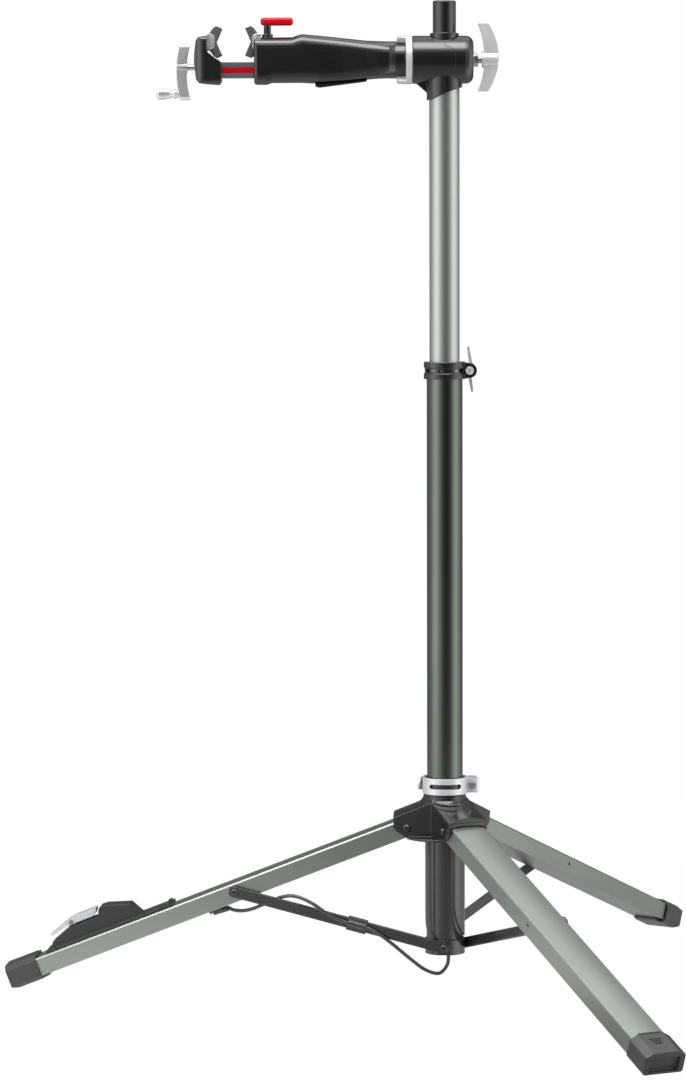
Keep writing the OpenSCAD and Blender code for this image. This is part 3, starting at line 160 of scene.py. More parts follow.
class StandStudio(bpy.types.PropertyGroup):
    """Camera and light."""

    camera_at: FloatVectorProperty(
        name="Camera", description="Place of the camera", subtype="XYZ", unit="LENGTH", size=3,
        default=(-0.142, -5.574, 1.1001))
    camera_dip: FloatProperty(
        name="Dip", description="How far the camera looks down", subtype="ANGLE", default=0.083)
    camera_roll: FloatProperty(
        name="Roll", description="Turn about the line of sight", subtype="ANGLE", default=-0.0029)
    lens: FloatProperty(name="Lens", description="Focal length in mm", default=133.57, min=10)
    side_power: FloatProperty(
        name="Side light", description="Power of each side lamp", subtype="POWER", default=57)
    top_power: FloatProperty(
        name="Top light", description="Power of the lamp above", subtype="POWER", default=72)
    box_glow: FloatProperty(
        name="Front box", description="Brightness of the box above the front in mirror rays",
        default=8.0, min=0)
    back_glow: FloatProperty(
        name="Back sheet", description="Brightness of the sheet above the back in mirror rays",
        default=2.0, min=0)
    left_glow: FloatProperty(
        name="Left sheet", description="Brightness of the sheet above the left in mirror rays",
        default=8.0, min=0)
    front_power: FloatProperty(
        name="Front light", description="Power of the lamp by the camera", subtype="POWER", default=36)


class Val:
    """Shader socket that takes part in arithmetic; each operation adds a Math node."""

    def __init__(self, finish, socket):
        self.finish = finish
        self.socket = socket

    def _math(self, operation, *values):
        return self.finish.node(
            "ShaderNodeMath", {"operation": operation}, dict(enumerate(values)))

    def __add__(self, other):
        return self._math("ADD", self, other)

    __radd__ = __add__

    def __sub__(self, other):
        return self._math("SUBTRACT", self, other)

    def __rsub__(self, other):
        return self._math("SUBTRACT", other, self)

    def __mul__(self, other):
        return self._math("MULTIPLY", self, other)

    __rmul__ = __mul__

    def __truediv__(self, other):
        return self._math("DIVIDE", self, other)

    def __rtruediv__(self, other):
        return self._math("DIVIDE", other, self)

    def max(self, other):
        return self._math("MAXIMUM", self, other)

    def ramp(self, low, high):
        """0 below low, 1 above high, smooth between."""
        return self.finish.node(
            "ShaderNodeMapRange", {"interpolation_type": "SMOOTHSTEP"},
            {"Value": self, "From Min": low, "From Max": high})


class Finish:
    """Nodes of a new material, or of a tree that is handed in."""

    def __init__(self, name, tree=None):
        if tree is None:
            self.material = bpy.data.materials.new(name)
            self.material.use_nodes = True
            tree = self.material.node_tree
        self.tree = tree
        self.tree.nodes.clear()

    def node(self, kind, settings=None, values=None, out=0):
        """Add a node, set its settings, then its sockets, and give one of its outputs."""
        made = self.tree.nodes.new(kind)
        for key, value in (settings or {}).items():
            if key == "stops":
                elements = made.color_ramp.elements
                while len(elements) < len(value):
                    elements.new(0.5)
                for element, (place, colour) in zip(elements, value):
                    element.position = place
                    element.color = (*colour, 1.0)
            else:
                setattr(made, key, value)
        for key, value in (values or {}).items():
            socket = made.inputs[key]
            if isinstance(value, Val):
                self.tree.links.new(value.socket, socket)
            elif socket.type == "RGBA" and len(value) == 3:
                socket.default_value = (*value, 1.0)
            else:
                socket.default_value = value
        return Val(self, made.outputs[out]) if len(made.outputs) else made

    def mix(self, fac, one, two):
        """Colour between one and two."""
        return self.node("ShaderNodeMix", {"data_type": "RGBA"}, {0: fac, 6: one, 7: two}, out=2)

    def place(self, turn=(0, 0, 0), scale=(1, 1, 1)):
        """Object coordinates, turned and scaled."""
        coords = self.node("ShaderNodeTexCoord", out="Object")
        turned = self.node(
            "ShaderNodeMapping", {"vector_type": "POINT"}, {"Vector": coords, "Rotation": turn})
        return self.node(
            "ShaderNodeVectorMath", {"operation": "MULTIPLY"}, {0: turned, 1: scale}, out="Vector")

    def noise(self, where, scale, detail=2.0, rough=0.5):
        """Noise from 0 to 1 over the given places."""
        return self.node(
            "ShaderNodeTexNoise", None,
            {"Vector": where, "Scale": scale, "Detail": detail, "Roughness": rough}, out=0)

    def bevel(self, radius):
        """Normal rounded over edges."""
        return self.node("ShaderNodeBevel", {"samples": 4}, {"Radius": radius}, out="Normal")

    def edge(self, rounded):
        """1 on sharp edges, 0 on flat faces."""
        true = self.node("ShaderNodeNewGeometry", out="Normal")
        along = self.node(
            "ShaderNodeVectorMath", {"operation": "DOT_PRODUCT"}, {0: rounded, 1: true}, out="Value")
        return (1 - along).ramp(0.01, 0.16)

    def bump(self, height, strength, distance, normal=None):
        """Normal bent by a height."""
        values = {"Height": height, "Strength": strength, "Distance": distance}
        if normal is not None:
            values["Normal"] = normal
        return self.node("ShaderNodeBump", None, values, out="Normal")

    def surface(self, values):
        """End the material in one surface shader."""
        shader = self.node("ShaderNodeBsdfPrincipled", None, values, out="BSDF")
        self.node("ShaderNodeOutputMaterial", None, {"Surface": shader})
        return self.material


def anodised(name, colour, roughness, turn=(0, 0, 0), long_axis=2, edge=0.0006):
    """Drawn aluminium tube with a dyed oxide skin: lines along its length, fine tooth, a few rubs."""
    f = Finish(name)
    fine = [1.0, 1.0, 1.0]
    fine[long_axis] = 0.012
    drawn = f.noise(f.place(turn, fine), 900, 3, 0.6)
    tooth = f.noise(f.place(turn), 2600, 2, 0.5)
    cloud = f.noise(f.place(turn), 7, 3, 0.5)
    rub_scale = [1.0, 1.0, 1.0]
    rub_scale[long_axis] = 0.08
    rubs = f.noise(f.place(turn, rub_scale), 160, 4, 0.7).ramp(0.66, 0.78)
    shade = [c * 0.95 for c in colour]
    light = [min(1.0, c * 1.04) for c in colour]
    tint = f.mix(cloud.ramp(0.25, 0.75) * 0.85 + drawn * 0.15, shade, light)
    rounded = f.bevel(edge)
    wear_and_highlight = f.edge(rounded)
    # Edges lighter than the faces: partly rubbed oxide, partly painted highlight.
    tint = f.mix(wear_and_highlight * 0.45, tint, [min(1.0, c * 1.3 + 0.05) for c in colour])
    rough = roughness - 0.03 + drawn * 0.03 + tooth * 0.04 + rubs * 0.04
    height = drawn * 0.3 + tooth * 0.7
    return f.surface({
        "Base Color": tint, "Metallic": 1.0, "Roughness": rough,
        "Normal": f.bump(height, 0.1, 0.0001, rounded),
    })


def painted(name, colour, roughness, peel, wear, edge, bare, shine=0.85):
    """Stoved paint on a casting: orange peel, fine grit and rubbed edges."""
    f = Finish(name)
    skin = f.noise(f.place(), 900, 2, 0.5)
    grit = f.noise(f.place(), 3600, 2, 0.6)
    cloud = f.noise(f.place(), 18, 4, 0.6)
    rounded = f.bevel(edge)
    chips = f.noise(f.place(), 240, 3, 0.7).ramp(0.42, 0.62)
    wear_and_highlight = f.edge(f.bevel(edge * 0.3)) * chips * wear
    tint = f.mix(cloud.ramp(0.35, 0.7), [c * 0.96 for c in colour], [c * 1.04 for c in colour])
    # Rubbed edges show bare metal; where the wear is raised, as on the hub, they are partly painted
    # highlight.
    tint = f.mix(wear_and_highlight, tint, bare)
    rough = roughness - 0.03 + cloud * 0.03 + grit * 0.03 - wear_and_highlight * 0.06
    return f.surface({
        "Base Color": tint, "Roughness": rough, "Specular IOR Level": shine,
        "Normal": f.bump(skin * 0.7 + grit * 0.3, peel, 0.00018, rounded),
    })


def moulded(name, colour, roughness, grain, edge, shine=0.5):
    """Moulded plastic or rubber with a sparked grain."""
    f = Finish(name)
    cells = f.node(
        "ShaderNodeTexVoronoi", {"feature": "SMOOTH_F1"},
        {"Vector": f.place(), "Scale": 1700, "Smoothness": 0.6}, out="Distance")
    dust = f.noise(f.place(), 55, 5, 0.65)
    rounded = f.bevel(edge)
    rim = f.edge(f.bevel(edge * 0.3))
    tint = f.mix(dust.ramp(0.4, 0.75), [c * 0.94 for c in colour], [c * 1.1 for c in colour])
    # Edges lighter than the faces: painted highlight.
    tint = f.mix(rim * 0.5, tint, [c * 1.4 + 0.006 for c in colour])
    rough = roughness - 0.04 + dust * 0.06 + cells * 0.04
    return f.surface({
        "Base Color": tint, "Roughness": rough, "Specular IOR Level": shine,
        "Normal": f.bump(cells, grain, 0.0002, rounded),
    })


def blasted(name, colour, roughness, edge, pit=0.09):
    """Bead blasted and clear anodised aluminium."""
    f = Finish(name)
    pits = f.noise(f.place(), 2200, 3, 0.6)
    cloud = f.noise(f.place(), 35, 3, 0.55)
    rounded = f.bevel(edge)
    wear_and_highlight = f.edge(rounded)
    tint = f.mix(cloud.ramp(0.3, 0.75), [c * 0.93 for c in colour], colour)
    # Edges a little lighter than the faces: partly wear, partly painted highlight.
    tint = f.mix(wear_and_highlight * 0.5, tint, [min(1.0, c * 1.08) for c in colour])
    rough = roughness - 0.05 + pits * 0.08 + cloud * 0.05 - wear_and_highlight * 0.06
    return f.surface({
        "Base Color": tint, "Metallic": 0.5, "Roughness": rough,
        "Normal": f.bump(pits, pit, 0.00015, rounded),
    })


def polished(name, colour, roughness, edge):
    """Cast aluminium, polished by hand: soft waves under a bright skin."""
    f = Finish(name)
    waves = f.noise(f.place(), 48, 2, 0.5)
    grain = f.noise(f.place(), 1600, 2, 0.5)
    rounded = f.bevel(edge)
    wear_and_highlight = f.edge(rounded)
    tint = f.mix(waves.ramp(0.35, 0.7), [c * 0.94 for c in colour], colour)
    rough = roughness + grain * 0.05 + waves * 0.06 - wear_and_highlight * 0.04
    smooth = f.bump(waves, 0.4, 0.003, rounded)
    return f.surface({
        "Base Color": tint, "Metallic": 0.8, "Roughness": rough,
        "Normal": smooth,
    })


def plated(name, colour, roughness, edge):
    """Plated steel or brass with a fine grain and faint stains."""
    f = Finish(name)
    grain = f.noise(f.place(), 1400, 2, 0.5)
    stain = f.noise(f.place(), 60, 4, 0.6)
    rounded = f.bevel(edge)
    tint = f.mix(stain.ramp(0.35, 0.7), [c * 0.85 for c in colour], colour)
    rough = roughness + grain * 0.06 + stain * 0.08
    return f.surface({
        "Base Color": tint, "Metallic": 1.0, "Roughness": rough,
        "Normal": f.bump(grain, 0.12, 0.0001, rounded),
    })


def glossy(name, colour, roughness, edge):
    """Smooth coloured plastic with a faint sink and scuff pattern."""
    f = Finish(name)
    sink = f.noise(f.place(), 90, 2, 0.5)
    scuff = f.noise(f.place(), 700, 4, 0.7)
    rounded = f.bevel(edge)
    tint = f.mix(sink.ramp(0.3, 0.7), [c * 0.9 for c in colour], [min(1.0, c * 1.06) for c in colour])
    # Edges lighter than the faces: painted highlight.
    tint = f.mix(f.edge(rounded) * 0.3, tint, [min(1.0, c * 1.2 + 0.02) for c in colour])
    rough = roughness + scuff.ramp(0.45, 0.75) * 0.12
    return f.surface({
        "Base Color": tint, "Roughness": rough, "Specular IOR Level": 0.3,
        "Normal": f.bump(sink * 0.6 + scuff * 0.4, 0.08, 0.0003, rounded),
    })


def give(material, *nodes):
    """Put one finish on whole nodes of the frame."""
    for name in nodes:
        data = NODES[name].data
        data.materials.clear()
        data.materials.append(material)


def ease(width, *nodes, angle=34.0, steps=2):
    """Round the hard edges of nodes with modifiers, leaving their meshes as they are."""
    for name in nodes:
        obj = NODES[name]
        weld = obj.modifiers.new("Join", "WELD")
        weld.merge_threshold = 2e-6
        flat = obj.modifiers.new("Flat", "DECIMATE")
        flat.decimate_type = "DISSOLVE"
        flat.angle_limit = math.radians(0.6)
        rounding = obj.modifiers.new("Round", "BEVEL")
        rounding.limit_method = "ANGLE"
        rounding.angle_limit = math.radians(angle)
        rounding.width = width
        rounding.segments = steps
        rounding.use_clamp_overlap = True
        rounding.harden_normals = False
        even = obj.modifiers.new("Even", "WEIGHTED_NORMAL")
        even.keep_sharp = True
        even.weight = 60


def new_piece(name, mesh, material, body):
    """Object for a new mesh that rides on a body."""
    obj = bpy.data.objects.new(name, mesh)
    bpy.context.scene.collection.objects.link(obj)
    mesh.materials.append(material)
    mesh.shade_smooth()
    if body:
        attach(obj, body)
    return obj


def mesh_from(name, bm):
    """Mesh with what bm holds."""
    mesh = bpy.data.meshes.new(name)
    bm.to_mesh(mesh)
    bm.free()
    return mesh


def curve_points(route, steps):
    """Points on a smooth curve through every point of a route."""
    points = [Vector(p) for p in route]
    path = []
    for i in range(len(points) - 1):
        before, start, end = points[max(i - 1, 0)], points[i], points[i + 1]
        after = points[min(i + 2, len(points) - 1)]
        for k in range(steps):
            t = k / steps
            path.append(0.5 * (
                2 * start + (end - before) * t + (2 * before - 5 * start + 4 * end - after) * t * t
                + (3 * start - before - 3 * end + after) * t ** 3))
    path.append(points[-1])
    return path


def tube_mesh(name, path, radius, sides):
    """Closed tube along a path, with rings that turn as little as they can."""
    bm = bmesh.new()
    ahead = (path[1] - path[0]).normalized()
    side = ahead.orthogonal().normalized()
    rings = []
    for i, point in enumerate(path):
        now = (path[min(i + 1, len(path) - 1)] - path[max(i - 1, 0)]).normalized()
        side = (side - now * side.dot(now)).normalized()
        up = now.cross(side)
        rings.append([
            bm.verts.new(point + radius * (math.cos(a) * side + math.sin(a) * up))
            for a in (2 * math.pi * k / sides for k in range(sides))])
    for one, two in zip(rings, rings[1:]):
        for k in range(sides):
            bm.faces.new((one[k], one[(k + 1) % sides], two[(k + 1) % sides], two[k]))
    bm.faces.new(list(reversed(rings[0])))
    bm.faces.new(rings[-1])
    bmesh.ops.recalc_face_normals(bm, faces=bm.faces)
    return mesh_from(name, bm)


def rounded_bar(name, low, high, radius):
    """Bar that fills a box, with every edge rounded."""
    bm = bmesh.new()
    bmesh.ops.create_cube(bm, size=1.0)
    low, high = Vector(low), Vector(high)
    bmesh.ops.scale(bm, verts=bm.verts, vec=high - low)
    bmesh.ops.translate(bm, verts=bm.verts, vec=(low + high) / 2)
    bmesh.ops.bevel(bm, geom=bm.edges[:], offset=radius, segments=7, profile=0.5, affect="EDGES")
    return mesh_from(name, bm)


class STAND_OT_tubes(bpy.types.Operator):
    """Anodised column tubes and legs"""

    bl_idname = "repair_stand.tubes"
    bl_label = "Tubes and legs"

    leg_round = 0.002

    def execute(self, context):
        looks = context.scene.stand_finishes
        edge = context.scene.stand_sizes.edge_fine
        give(anodised("grey_anodised", list(looks.tube_grey), looks.tube_roughness), "upper_tube")
        give(anodised("dark_anodised", list(looks.tube_dark), looks.tube_dark_roughness), "lower_tube")
        for leg, turn in LEG_TURNS.items():
            back = (0, math.radians(-LEG_SLOPE), math.radians(-turn))
            # The legs' darker grey is painted shade.
            grey = anodised("grey_anodised_" + leg, list(looks.leg_shade_grey), looks.leg_roughness, turn=back,
                            long_axis=0, edge=self.leg_round)
            give(grey, leg)
        ease(edge * 2, *LEG_TURNS)
        ease(edge, "upper_tube", "lower_tube")
        return {"FINISHED"}


class STAND_OT_castings(bpy.types.Operator):
    """Painted hub, spine, braces, head, arm and jaw"""

    bl_idname = "repair_stand.castings"
    bl_label = "Castings"

    dark = ("spine_tube", "brace_collar", "brace_left", "brace_front", "brace_rear")
    black = ("head_casting", "arm_shell_near", "arm_shell_far", "arm_lower_plate", "outer_jaw_body",
             "height_collar", "gas_spring_cylinder", "top_post", "button_post")
    bare_black = (0.12, 0.12, 0.12)

    def execute(self, context):
        looks = context.scene.stand_finishes
        edge = context.scene.stand_sizes.edge_soft
        dark_paint = painted(
            "dark_paint", list(looks.casting_dark), roughness=0.2, peel=0.06, wear=looks.edge_wear * 0.3,
            edge=edge * 3, bare=BARE_METAL)
        # Hub paint: darker than the dark casting paint, painted shade; its wear is doubled, so its rubbed
        # edges are partly painted highlight.
        hub_paint = painted(
            "hub_paint", list(looks.hub_shaded_colour), roughness=0.13, peel=0.05, wear=looks.edge_wear * 0.6,
            edge=edge * 3, bare=BARE_METAL, shine=0.7)
        black_paint = painted(
            "black_paint", list(looks.casting_black), roughness=0.24, peel=0.05, wear=looks.edge_wear * 0.3,
            edge=edge * 2, bare=self.bare_black)
        give(dark_paint, *self.dark)
        give(hub_paint, "hub_casting")
        give(black_paint, *self.black)
        ease(edge * 1.5, *self.dark, "hub_casting", steps=3)
        ease(edge, *self.black)
        return {"FINISHED"}


class STAND_OT_mouldings(bpy.types.Operator):
    """Black plastic caps, housings and plugs, and the nylon bushes"""

    bl_idname = "repair_stand.mouldings"
    bl_label = "Mouldings"

    black = ("base_plug", "cap_left", "cap_front", "cap_rear", "cable_gland", "cable_clip")
    white = ("guide_bush", "slide_bush", "shaft_bushes")

    def execute(self, context):
        looks = context.scene.stand_finishes
        edge = context.scene.stand_sizes.edge_soft
        black_plastic = moulded(
            "black_plastic", list(looks.plastic_black), roughness=0.34, grain=0.1, edge=edge * 3, shine=0.8)
        # Darker copy of the black plastic for the pedal housing: painted shade
        housing_plastic = moulded(
            "housing_plastic", list(looks.housing_shaded_colour), roughness=0.34, grain=0.1, edge=edge * 3,
            shine=0.65)
        give(black_plastic, *self.black)
        give(housing_plastic, "pedal_housing")
        give(moulded("white_nylon", list(looks.nylon), roughness=0.48, grain=0.1, edge=edge), *self.white)
        ease(edge, *self.black, "pedal_housing", *self.white)
        return {"FINISHED"}


class STAND_OT_bright(bpy.types.Operator):
    """Blasted levers and rings, polished crank and jaw holders, plated bolts, brass pin and pedal"""

    bl_idname = "repair_stand.bright"
    bl_label = "Bright metal"

    pale = ("height_wing_nut", "height_bolt", "clutch_ring", "hub_clamp_ring", "hub_clamp_lever",
            "tension_handle")
    bright = ("fixed_jaw_holder", "moving_jaw_holder", "crank_lever", "crank_knob")
    bolts = ("valve_lever", "gas_spring_rod", "arm_shaft", "button_spring", "crank_screw", "hub_clamp_bolt")
    dark_bolts = ("leg_pivot_bolts", "brace_left_bolts", "brace_front_bolts", "brace_rear_bolts")

    def execute(self, context):
        looks = context.scene.stand_finishes
        edge = context.scene.stand_sizes.edge_fine
        give(blasted("blasted_aluminium", list(looks.metal_pale), roughness=0.36, edge=edge * 2), *self.pale)
        give(polished("polished_aluminium", list(looks.metal_bright), roughness=0.2, edge=edge * 4),
             *self.bright)
        give(plated("plated_steel", list(looks.steel), roughness=0.2, edge=edge), *self.bolts)
        give(plated("black_oxide", list(looks.oxide), roughness=0.34, edge=edge), *self.dark_bolts)
        give(plated("pin_brass", list(looks.brass), roughness=0.24, edge=edge), "pedal_pin")
        give(blasted("pedal_sheet", list(looks.pedal), roughness=0.42, edge=edge * 2, pit=0.0), "pedal")
        ease(edge * 2, *self.pale, *self.bright, "pedal")
        ease(edge, *self.bolts, *self.dark_bolts, "pedal_pin")
        return {"FINISHED"}


class STAND_OT_jaw(bpy.types.Operator):
    """Rubber pads and the plates behind them, sliding bar, red cap, stripe and button spring of the clamp"""

    bl_idname = "repair_stand.jaw"
    bl_label = "Clamp jaw"

    cap_round = 0.0046
    bare_bar = (0.4, 0.41, 0.42)
    # Plates behind the pads: outline from a pad's tip, away from the gap and up, and half their width
    back_edge = ((0.008, 0.0205), (0.0115, 0.0195), (0.0195, 0.009), (0.0195, -0.009), (0.0115, -0.0195),
                 (0.008, -0.0205), (0.013, -0.0077), (0.013, 0.0077))
    back_half = 0.0155
    pad_z = 1.327
    # Name, body, place of the pad's tip and the side that faces away from the gap
    backs = (("pad_back_moving", "outer_jaw", -0.307, -1), ("pad_back_fixed", "arm", -0.275, 1))
    # What is left of the button's spring when the button is pressed home
    spring_keep = 0.52

    def execute(self, context):
        looks = context.scene.stand_finishes
        edge = context.scene.stand_sizes.edge_fine
        give(moulded("pad_rubber", list(looks.rubber), roughness=0.7, grain=0.3, edge=edge * 2),
             "fixed_jaw_pad", "moving_jaw_pad")
        bar_paint = painted(
            "bar_paint", list(looks.bar), roughness=0.3, peel=0.08, wear=looks.edge_wear, edge=edge,
            bare=self.bare_bar)
        give(bar_paint, "slide_bar")
        red = glossy("red_plastic", list(looks.red), roughness=0.2, edge=edge * 2)
        give(red, "button_cap", "bar_stripe")
        ease(edge * 2, "fixed_jaw_pad", "moving_jaw_pad", "slide_bar", "bar_stripe")
        bar = rounded_bar("button_cap_round", *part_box("button_cap"), self.cap_round)
        cap = new_piece("button_cap_round", bar, red, "release_button")
        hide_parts("button_cap")
        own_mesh(NODES["button_spring"])
        for name, body, tip, side in self.backs:
            rings = [[(tip + side * x, y, self.pad_z + z) for x, z in self.back_edge]
                     for y in (-self.back_half, self.back_half)]
            plate = new_piece(name, loft(name, rings), bar_paint, body)
            plate.data.shade_flat()
        return {"FINISHED"}


class STAND_OT_cable(bpy.types.Operator):
    """Release cable: in its gland, looped below the leg, along the brace and from its clip to the column"""

    bl_idname = "repair_stand.cable"
    bl_label = "Release cable"

    skin_edge = 0.0002
    # Steps between two points of the route
    steps = 8
    # Points of the route where one piece of the cable ends
    gland_end = 2
    loop_end = 6
    clip_point = 10
    # Points between which the last piece goes over from the column to the brace
    bend_start = 13
    bend_end = 11
    # Steps by which a piece reaches into the one before
    overlap = 2
    # Degrees that the left brace turns as the stand folds
    brace_fold = 65.28
    # What is left of the two slack pieces when the stand is folded and the gland has taken in the rest
    gland_keep = 0.4
    loop_keep = 0.1

    def execute(self, context):
        sizes = context.scene.stand_sizes
        black = list(context.scene.stand_finishes.cable)
        skin = moulded("cable_skin", black, roughness=0.3, grain=0.05, edge=self.skin_edge, shine=0.9)
        path = curve_points(CABLE_ROUTE, self.steps)
        gland, loop, clip = (point * self.steps for point in (self.gland_end, self.loop_end, self.clip_point))
        radius = sizes.cable_d / 2
        spans = {
            "cable_at_gland": (path[:gland + 1], "left_leg"),
            "cable_loop": (path[gland - self.overlap:loop + 1], "left_brace"),
            "cable_on_brace": (path[loop - self.overlap:clip + 1], "left_brace"),
            "cable_to_column": (path[clip - self.overlap:], None),
        }
        made = {}
        for name, (points, body) in spans.items():
            mesh = tube_mesh(name, points, radius, sizes.cable_sides)
            made[name] = new_piece(name, mesh, skin, body)
        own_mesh(made["cable_at_gland"], "hub_slide", path[gland] - path[0], path[0], self.gland_keep)
        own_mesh(made["cable_loop"])
        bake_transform(made["cable_to_column"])
        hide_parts("release_cable")
        return {"FINISHED"}


def leg_frame(turn):
    """From a leg's own frame, with x along the leg from its pivot, to the stand's."""
    return (Matrix.Rotation(math.radians(turn), 4, "Z") @ Matrix.Translation((PIVOT_R, 0, PIVOT_Z))
            @ Matrix.Rotation(math.radians(LEG_SLOPE), 4, "Y"))


def leg_surface(y):
    """Height of a leg's upper side over its middle line, at y across it."""
    across = min(abs(y), LEG_HALF)
    crown = LEG_TOP - across * across / (2 * LEG_CROWN_R)
    shoulder = LEG_TOP - LEG_HALF * LEG_HALF / (2 * LEG_CROWN_R) - LEG_EDGE
    return min(crown, shoulder + LEG_HALF - across)


def loft(name, rings, closed=False):
    """Mesh over rings of points, each a whole outline. If closed, the last ring is joined to the first."""
    bm = bmesh.new()
    made = [[bm.verts.new(p) for p in ring] for ring in rings]
    pairs = list(zip(made, made[1:]))
    if closed:
        pairs.append((made[-1], made[0]))
    else:
        bm.faces.new(made[0])
        bm.faces.new(list(reversed(made[-1])))
    for one, two in pairs:
        for k in range(len(one)):
            j = (k + 1) % len(one)
            bm.faces.new((one[k], one[j], two[j], two[k]))
    bmesh.ops.recalc_face_normals(bm, faces=bm.faces)
    return mesh_from(name, bm)


class STAND_OT_details(bpy.types.Operator):
    """Rims and lips of the hub's mouths, fillet of its neck, painted shade in the clamp ring's grooves, seam
    of the head
    """

    bl_idname = "repair_stand.details"
    bl_label = "Casting details"

    rim_r = 0.0011
    rim_sides = 14
    # Points of a rim on each half of a leg, and steps between two points
    rim_points, rim_steps = 6, 6
    # Height of a rim over the leg, its place along the leg and the share of the leg's width that it spans
    rim_gap = 0.0017
    rim_along = 0.0142
    rim_share = 0.94
    # Side plates of a mouth: distance of their middle from the leg's, and corners of their front edge, out
    # and up from the pivot
    plate_mid = 0.0276
    plate_edge = ((0.0183, 0.0065), (0.0173, -0.0018), (0.006, -0.0099))
    # Lip that closes a roof: its ends along the leg, the lean of its outer face, its top, its half width
    # and the steps in that half
    lip = (0.0105, 0.0142)
    lip_lean = 0.0012
    lip_top = 0.0184
    lip_half = 0.0263
    lip_steps = 16
    # Least size of the neck's fillet, what a roof adds to it, how far it reaches into the casting inwards and
    # down, and its steps round the neck and over its hollow
    fillet = (0.004, 0.006)
    fillet_in = (0.002, 0.003)
    fillet_turns, fillet_steps = 144, 10
    # Seam on the front of the head: across and up from its axis, its radius, how far its middle stands out,
    # and its steps and sides
    seam = ((0, 0.031), (0, 0.0195), (0.0075, 0.0158), (0.0132, 0.011), (0.0146, 0.005), (0.0146, -0.0047),
            (0.0112, -0.0155), (0.002, -0.0187), (0, -0.022), (0, -0.032), (0, -0.045))
    seam_r = 0.0004
    seam_rise = 0.00005
    seam_steps, seam_sides = 5, 8
    # Dark fillings of the ear's grooves, painted shade: distance from its bolt, half width and half height,
    # colour, rounding, and both ends
    groove_off, groove_half, groove_up = 0.0034, 0.00115, 0.0033
    groove_shade_black = (0.006, 0.006, 0.006)
    groove_edge = 0.0002
    groove_ends = (-0.0006, 0.0001)

    def mouth(self, name, turn, paint):
        """Rim round one mouth of the hub, and the lip that closes the roof down to the leg."""
        leg = leg_frame(turn)
        level = Matrix.Rotation(math.radians(turn), 4, "Z") @ Matrix.Translation((PIVOT_R, 0, PIVOT_Z))
        over = [leg @ Vector((self.rim_along, y, leg_surface(y) + self.rim_gap))
                for y in (LEG_HALF * self.rim_share * k / self.rim_points
                          for k in range(-self.rim_points, self.rim_points + 1))]
        sides = [[level @ Vector((x, side * self.plate_mid, z)) for x, z in self.plate_edge]
                 for side in (-1, 1)]
        path = curve_points(list(reversed(sides[0])) + over + sides[1], self.rim_steps)
        rim = tube_mesh("hub_rim_" + name, path, self.rim_r, self.rim_sides)
        new_piece("hub_rim_" + name, rim, paint, "hub")
        rings = []
        for k in range(-self.lip_steps, self.lip_steps + 1):
            y = self.lip_half * k / self.lip_steps
            low = leg_surface(y) + self.rim_gap / 2
            rings.append([leg @ Vector((x, y, z)) for x, z in (
                (self.lip[0], low), (self.lip[1], low), (self.lip[1] - self.lip_lean, self.lip_top),
                (self.lip[0], self.lip_top))])
        lip = new_piece("hub_lip_" + name, loft("hub_lip_" + name, rings), paint, "hub")
        lip.data.shade_flat()

    def neck(self):
        """Hollow fillet between the hub's neck and its three roofs."""
        slope = math.tan(math.radians(ROOF_SLOPE))
        inner, under = NECK_R - self.fillet_in[0], self.fillet_in[1]
        rings = []
        for k in range(self.fillet_turns):
            turn = 2 * math.pi * k / self.fillet_turns
            off = min(abs((math.degrees(turn) - leg + 180) % 360 - 180) for leg in LEG_TURNS.values())
            near = math.radians(off)
            fall = math.cos(near) * slope + NECK_R * math.sin(near) ** 2 / ROOF_CROWN_R
            foot = PIVOT_Z + ROOF_TOP + (ROOF_REACH - NECK_R * math.cos(near)) * slope
            foot -= (NECK_R * math.sin(near)) ** 2 / (2 * ROOF_CROWN_R)
            size = self.fillet[0] + self.fillet[1] * math.cos(1.5 * near) ** 2
            outline = [(inner, foot - under), (inner, foot + size)]
            for j in range(self.fillet_steps + 1):
                t = j / self.fillet_steps
                outline.append((NECK_R + size * t * t, foot + size * (1 - t) ** 2 - size * fall * t * t))
            rings.append([(r * math.cos(turn), r * math.sin(turn), z) for r, z in outline])
        fillet = loft("hub_fillet", rings, closed=True)
        new_piece("hub_fillet", fillet, bpy.data.materials["hub_paint"], "hub")

    def groove_shade_fill(self):
        """Dark filling at the bottom of the two grooves in the clamp ring's ear: painted shade."""
        dark = moulded(
            "groove_dark", list(self.groove_shade_black), roughness=0.6, grain=0.1, edge=self.groove_edge)
        half, up = self.groove_half, self.groove_up
        outline = ((-half, -up), (half, -up), (half, up), (-half, up))
        for name, off in (("ear_groove_inner", -self.groove_off), ("ear_groove_outer", self.groove_off)):
            rings = [[(EAR_X + off + x, EAR_GROOVE_Y + y, EAR_Z + z) for x, z in outline]
                     for y in self.groove_ends]
            groove = new_piece(name, loft(name, rings), dark, "hub")
            groove.data.shade_flat()

    def head_seam(self):
        """Line where the head's two mould halves met."""
        path = []
        for point in curve_points([(x, 0, z) for x, z in self.seam], self.seam_steps):
            barrel = math.sqrt(max(BARREL_R ** 2 - point.z ** 2, 0.0))
            socket = math.sqrt(SOCKET_R ** 2 - point.x ** 2) if point.z < 0 else 0.0
            path.append(Vector((point.x, -max(barrel, socket) - self.seam_rise, HEAD_Z + point.z)))
        seam = tube_mesh("head_seam", path, self.seam_r, self.seam_sides)
        new_piece("head_seam", seam, bpy.data.materials["black_paint"], "mast")

    def execute(self, context):
        looks = context.scene.stand_finishes
        rim_paint = painted(
            "rim_paint", list(looks.hub_shaded_colour), roughness=0.16, peel=0.02, wear=0.0, edge=self.rim_r,
            bare=BARE_METAL, shine=1.0)
        for leg, turn in LEG_TURNS.items():
            self.mouth(leg.split("_")[1], turn, rim_paint)
        self.neck()
        self.groove_shade_fill()
        self.head_seam()
        return {"FINISHED"}


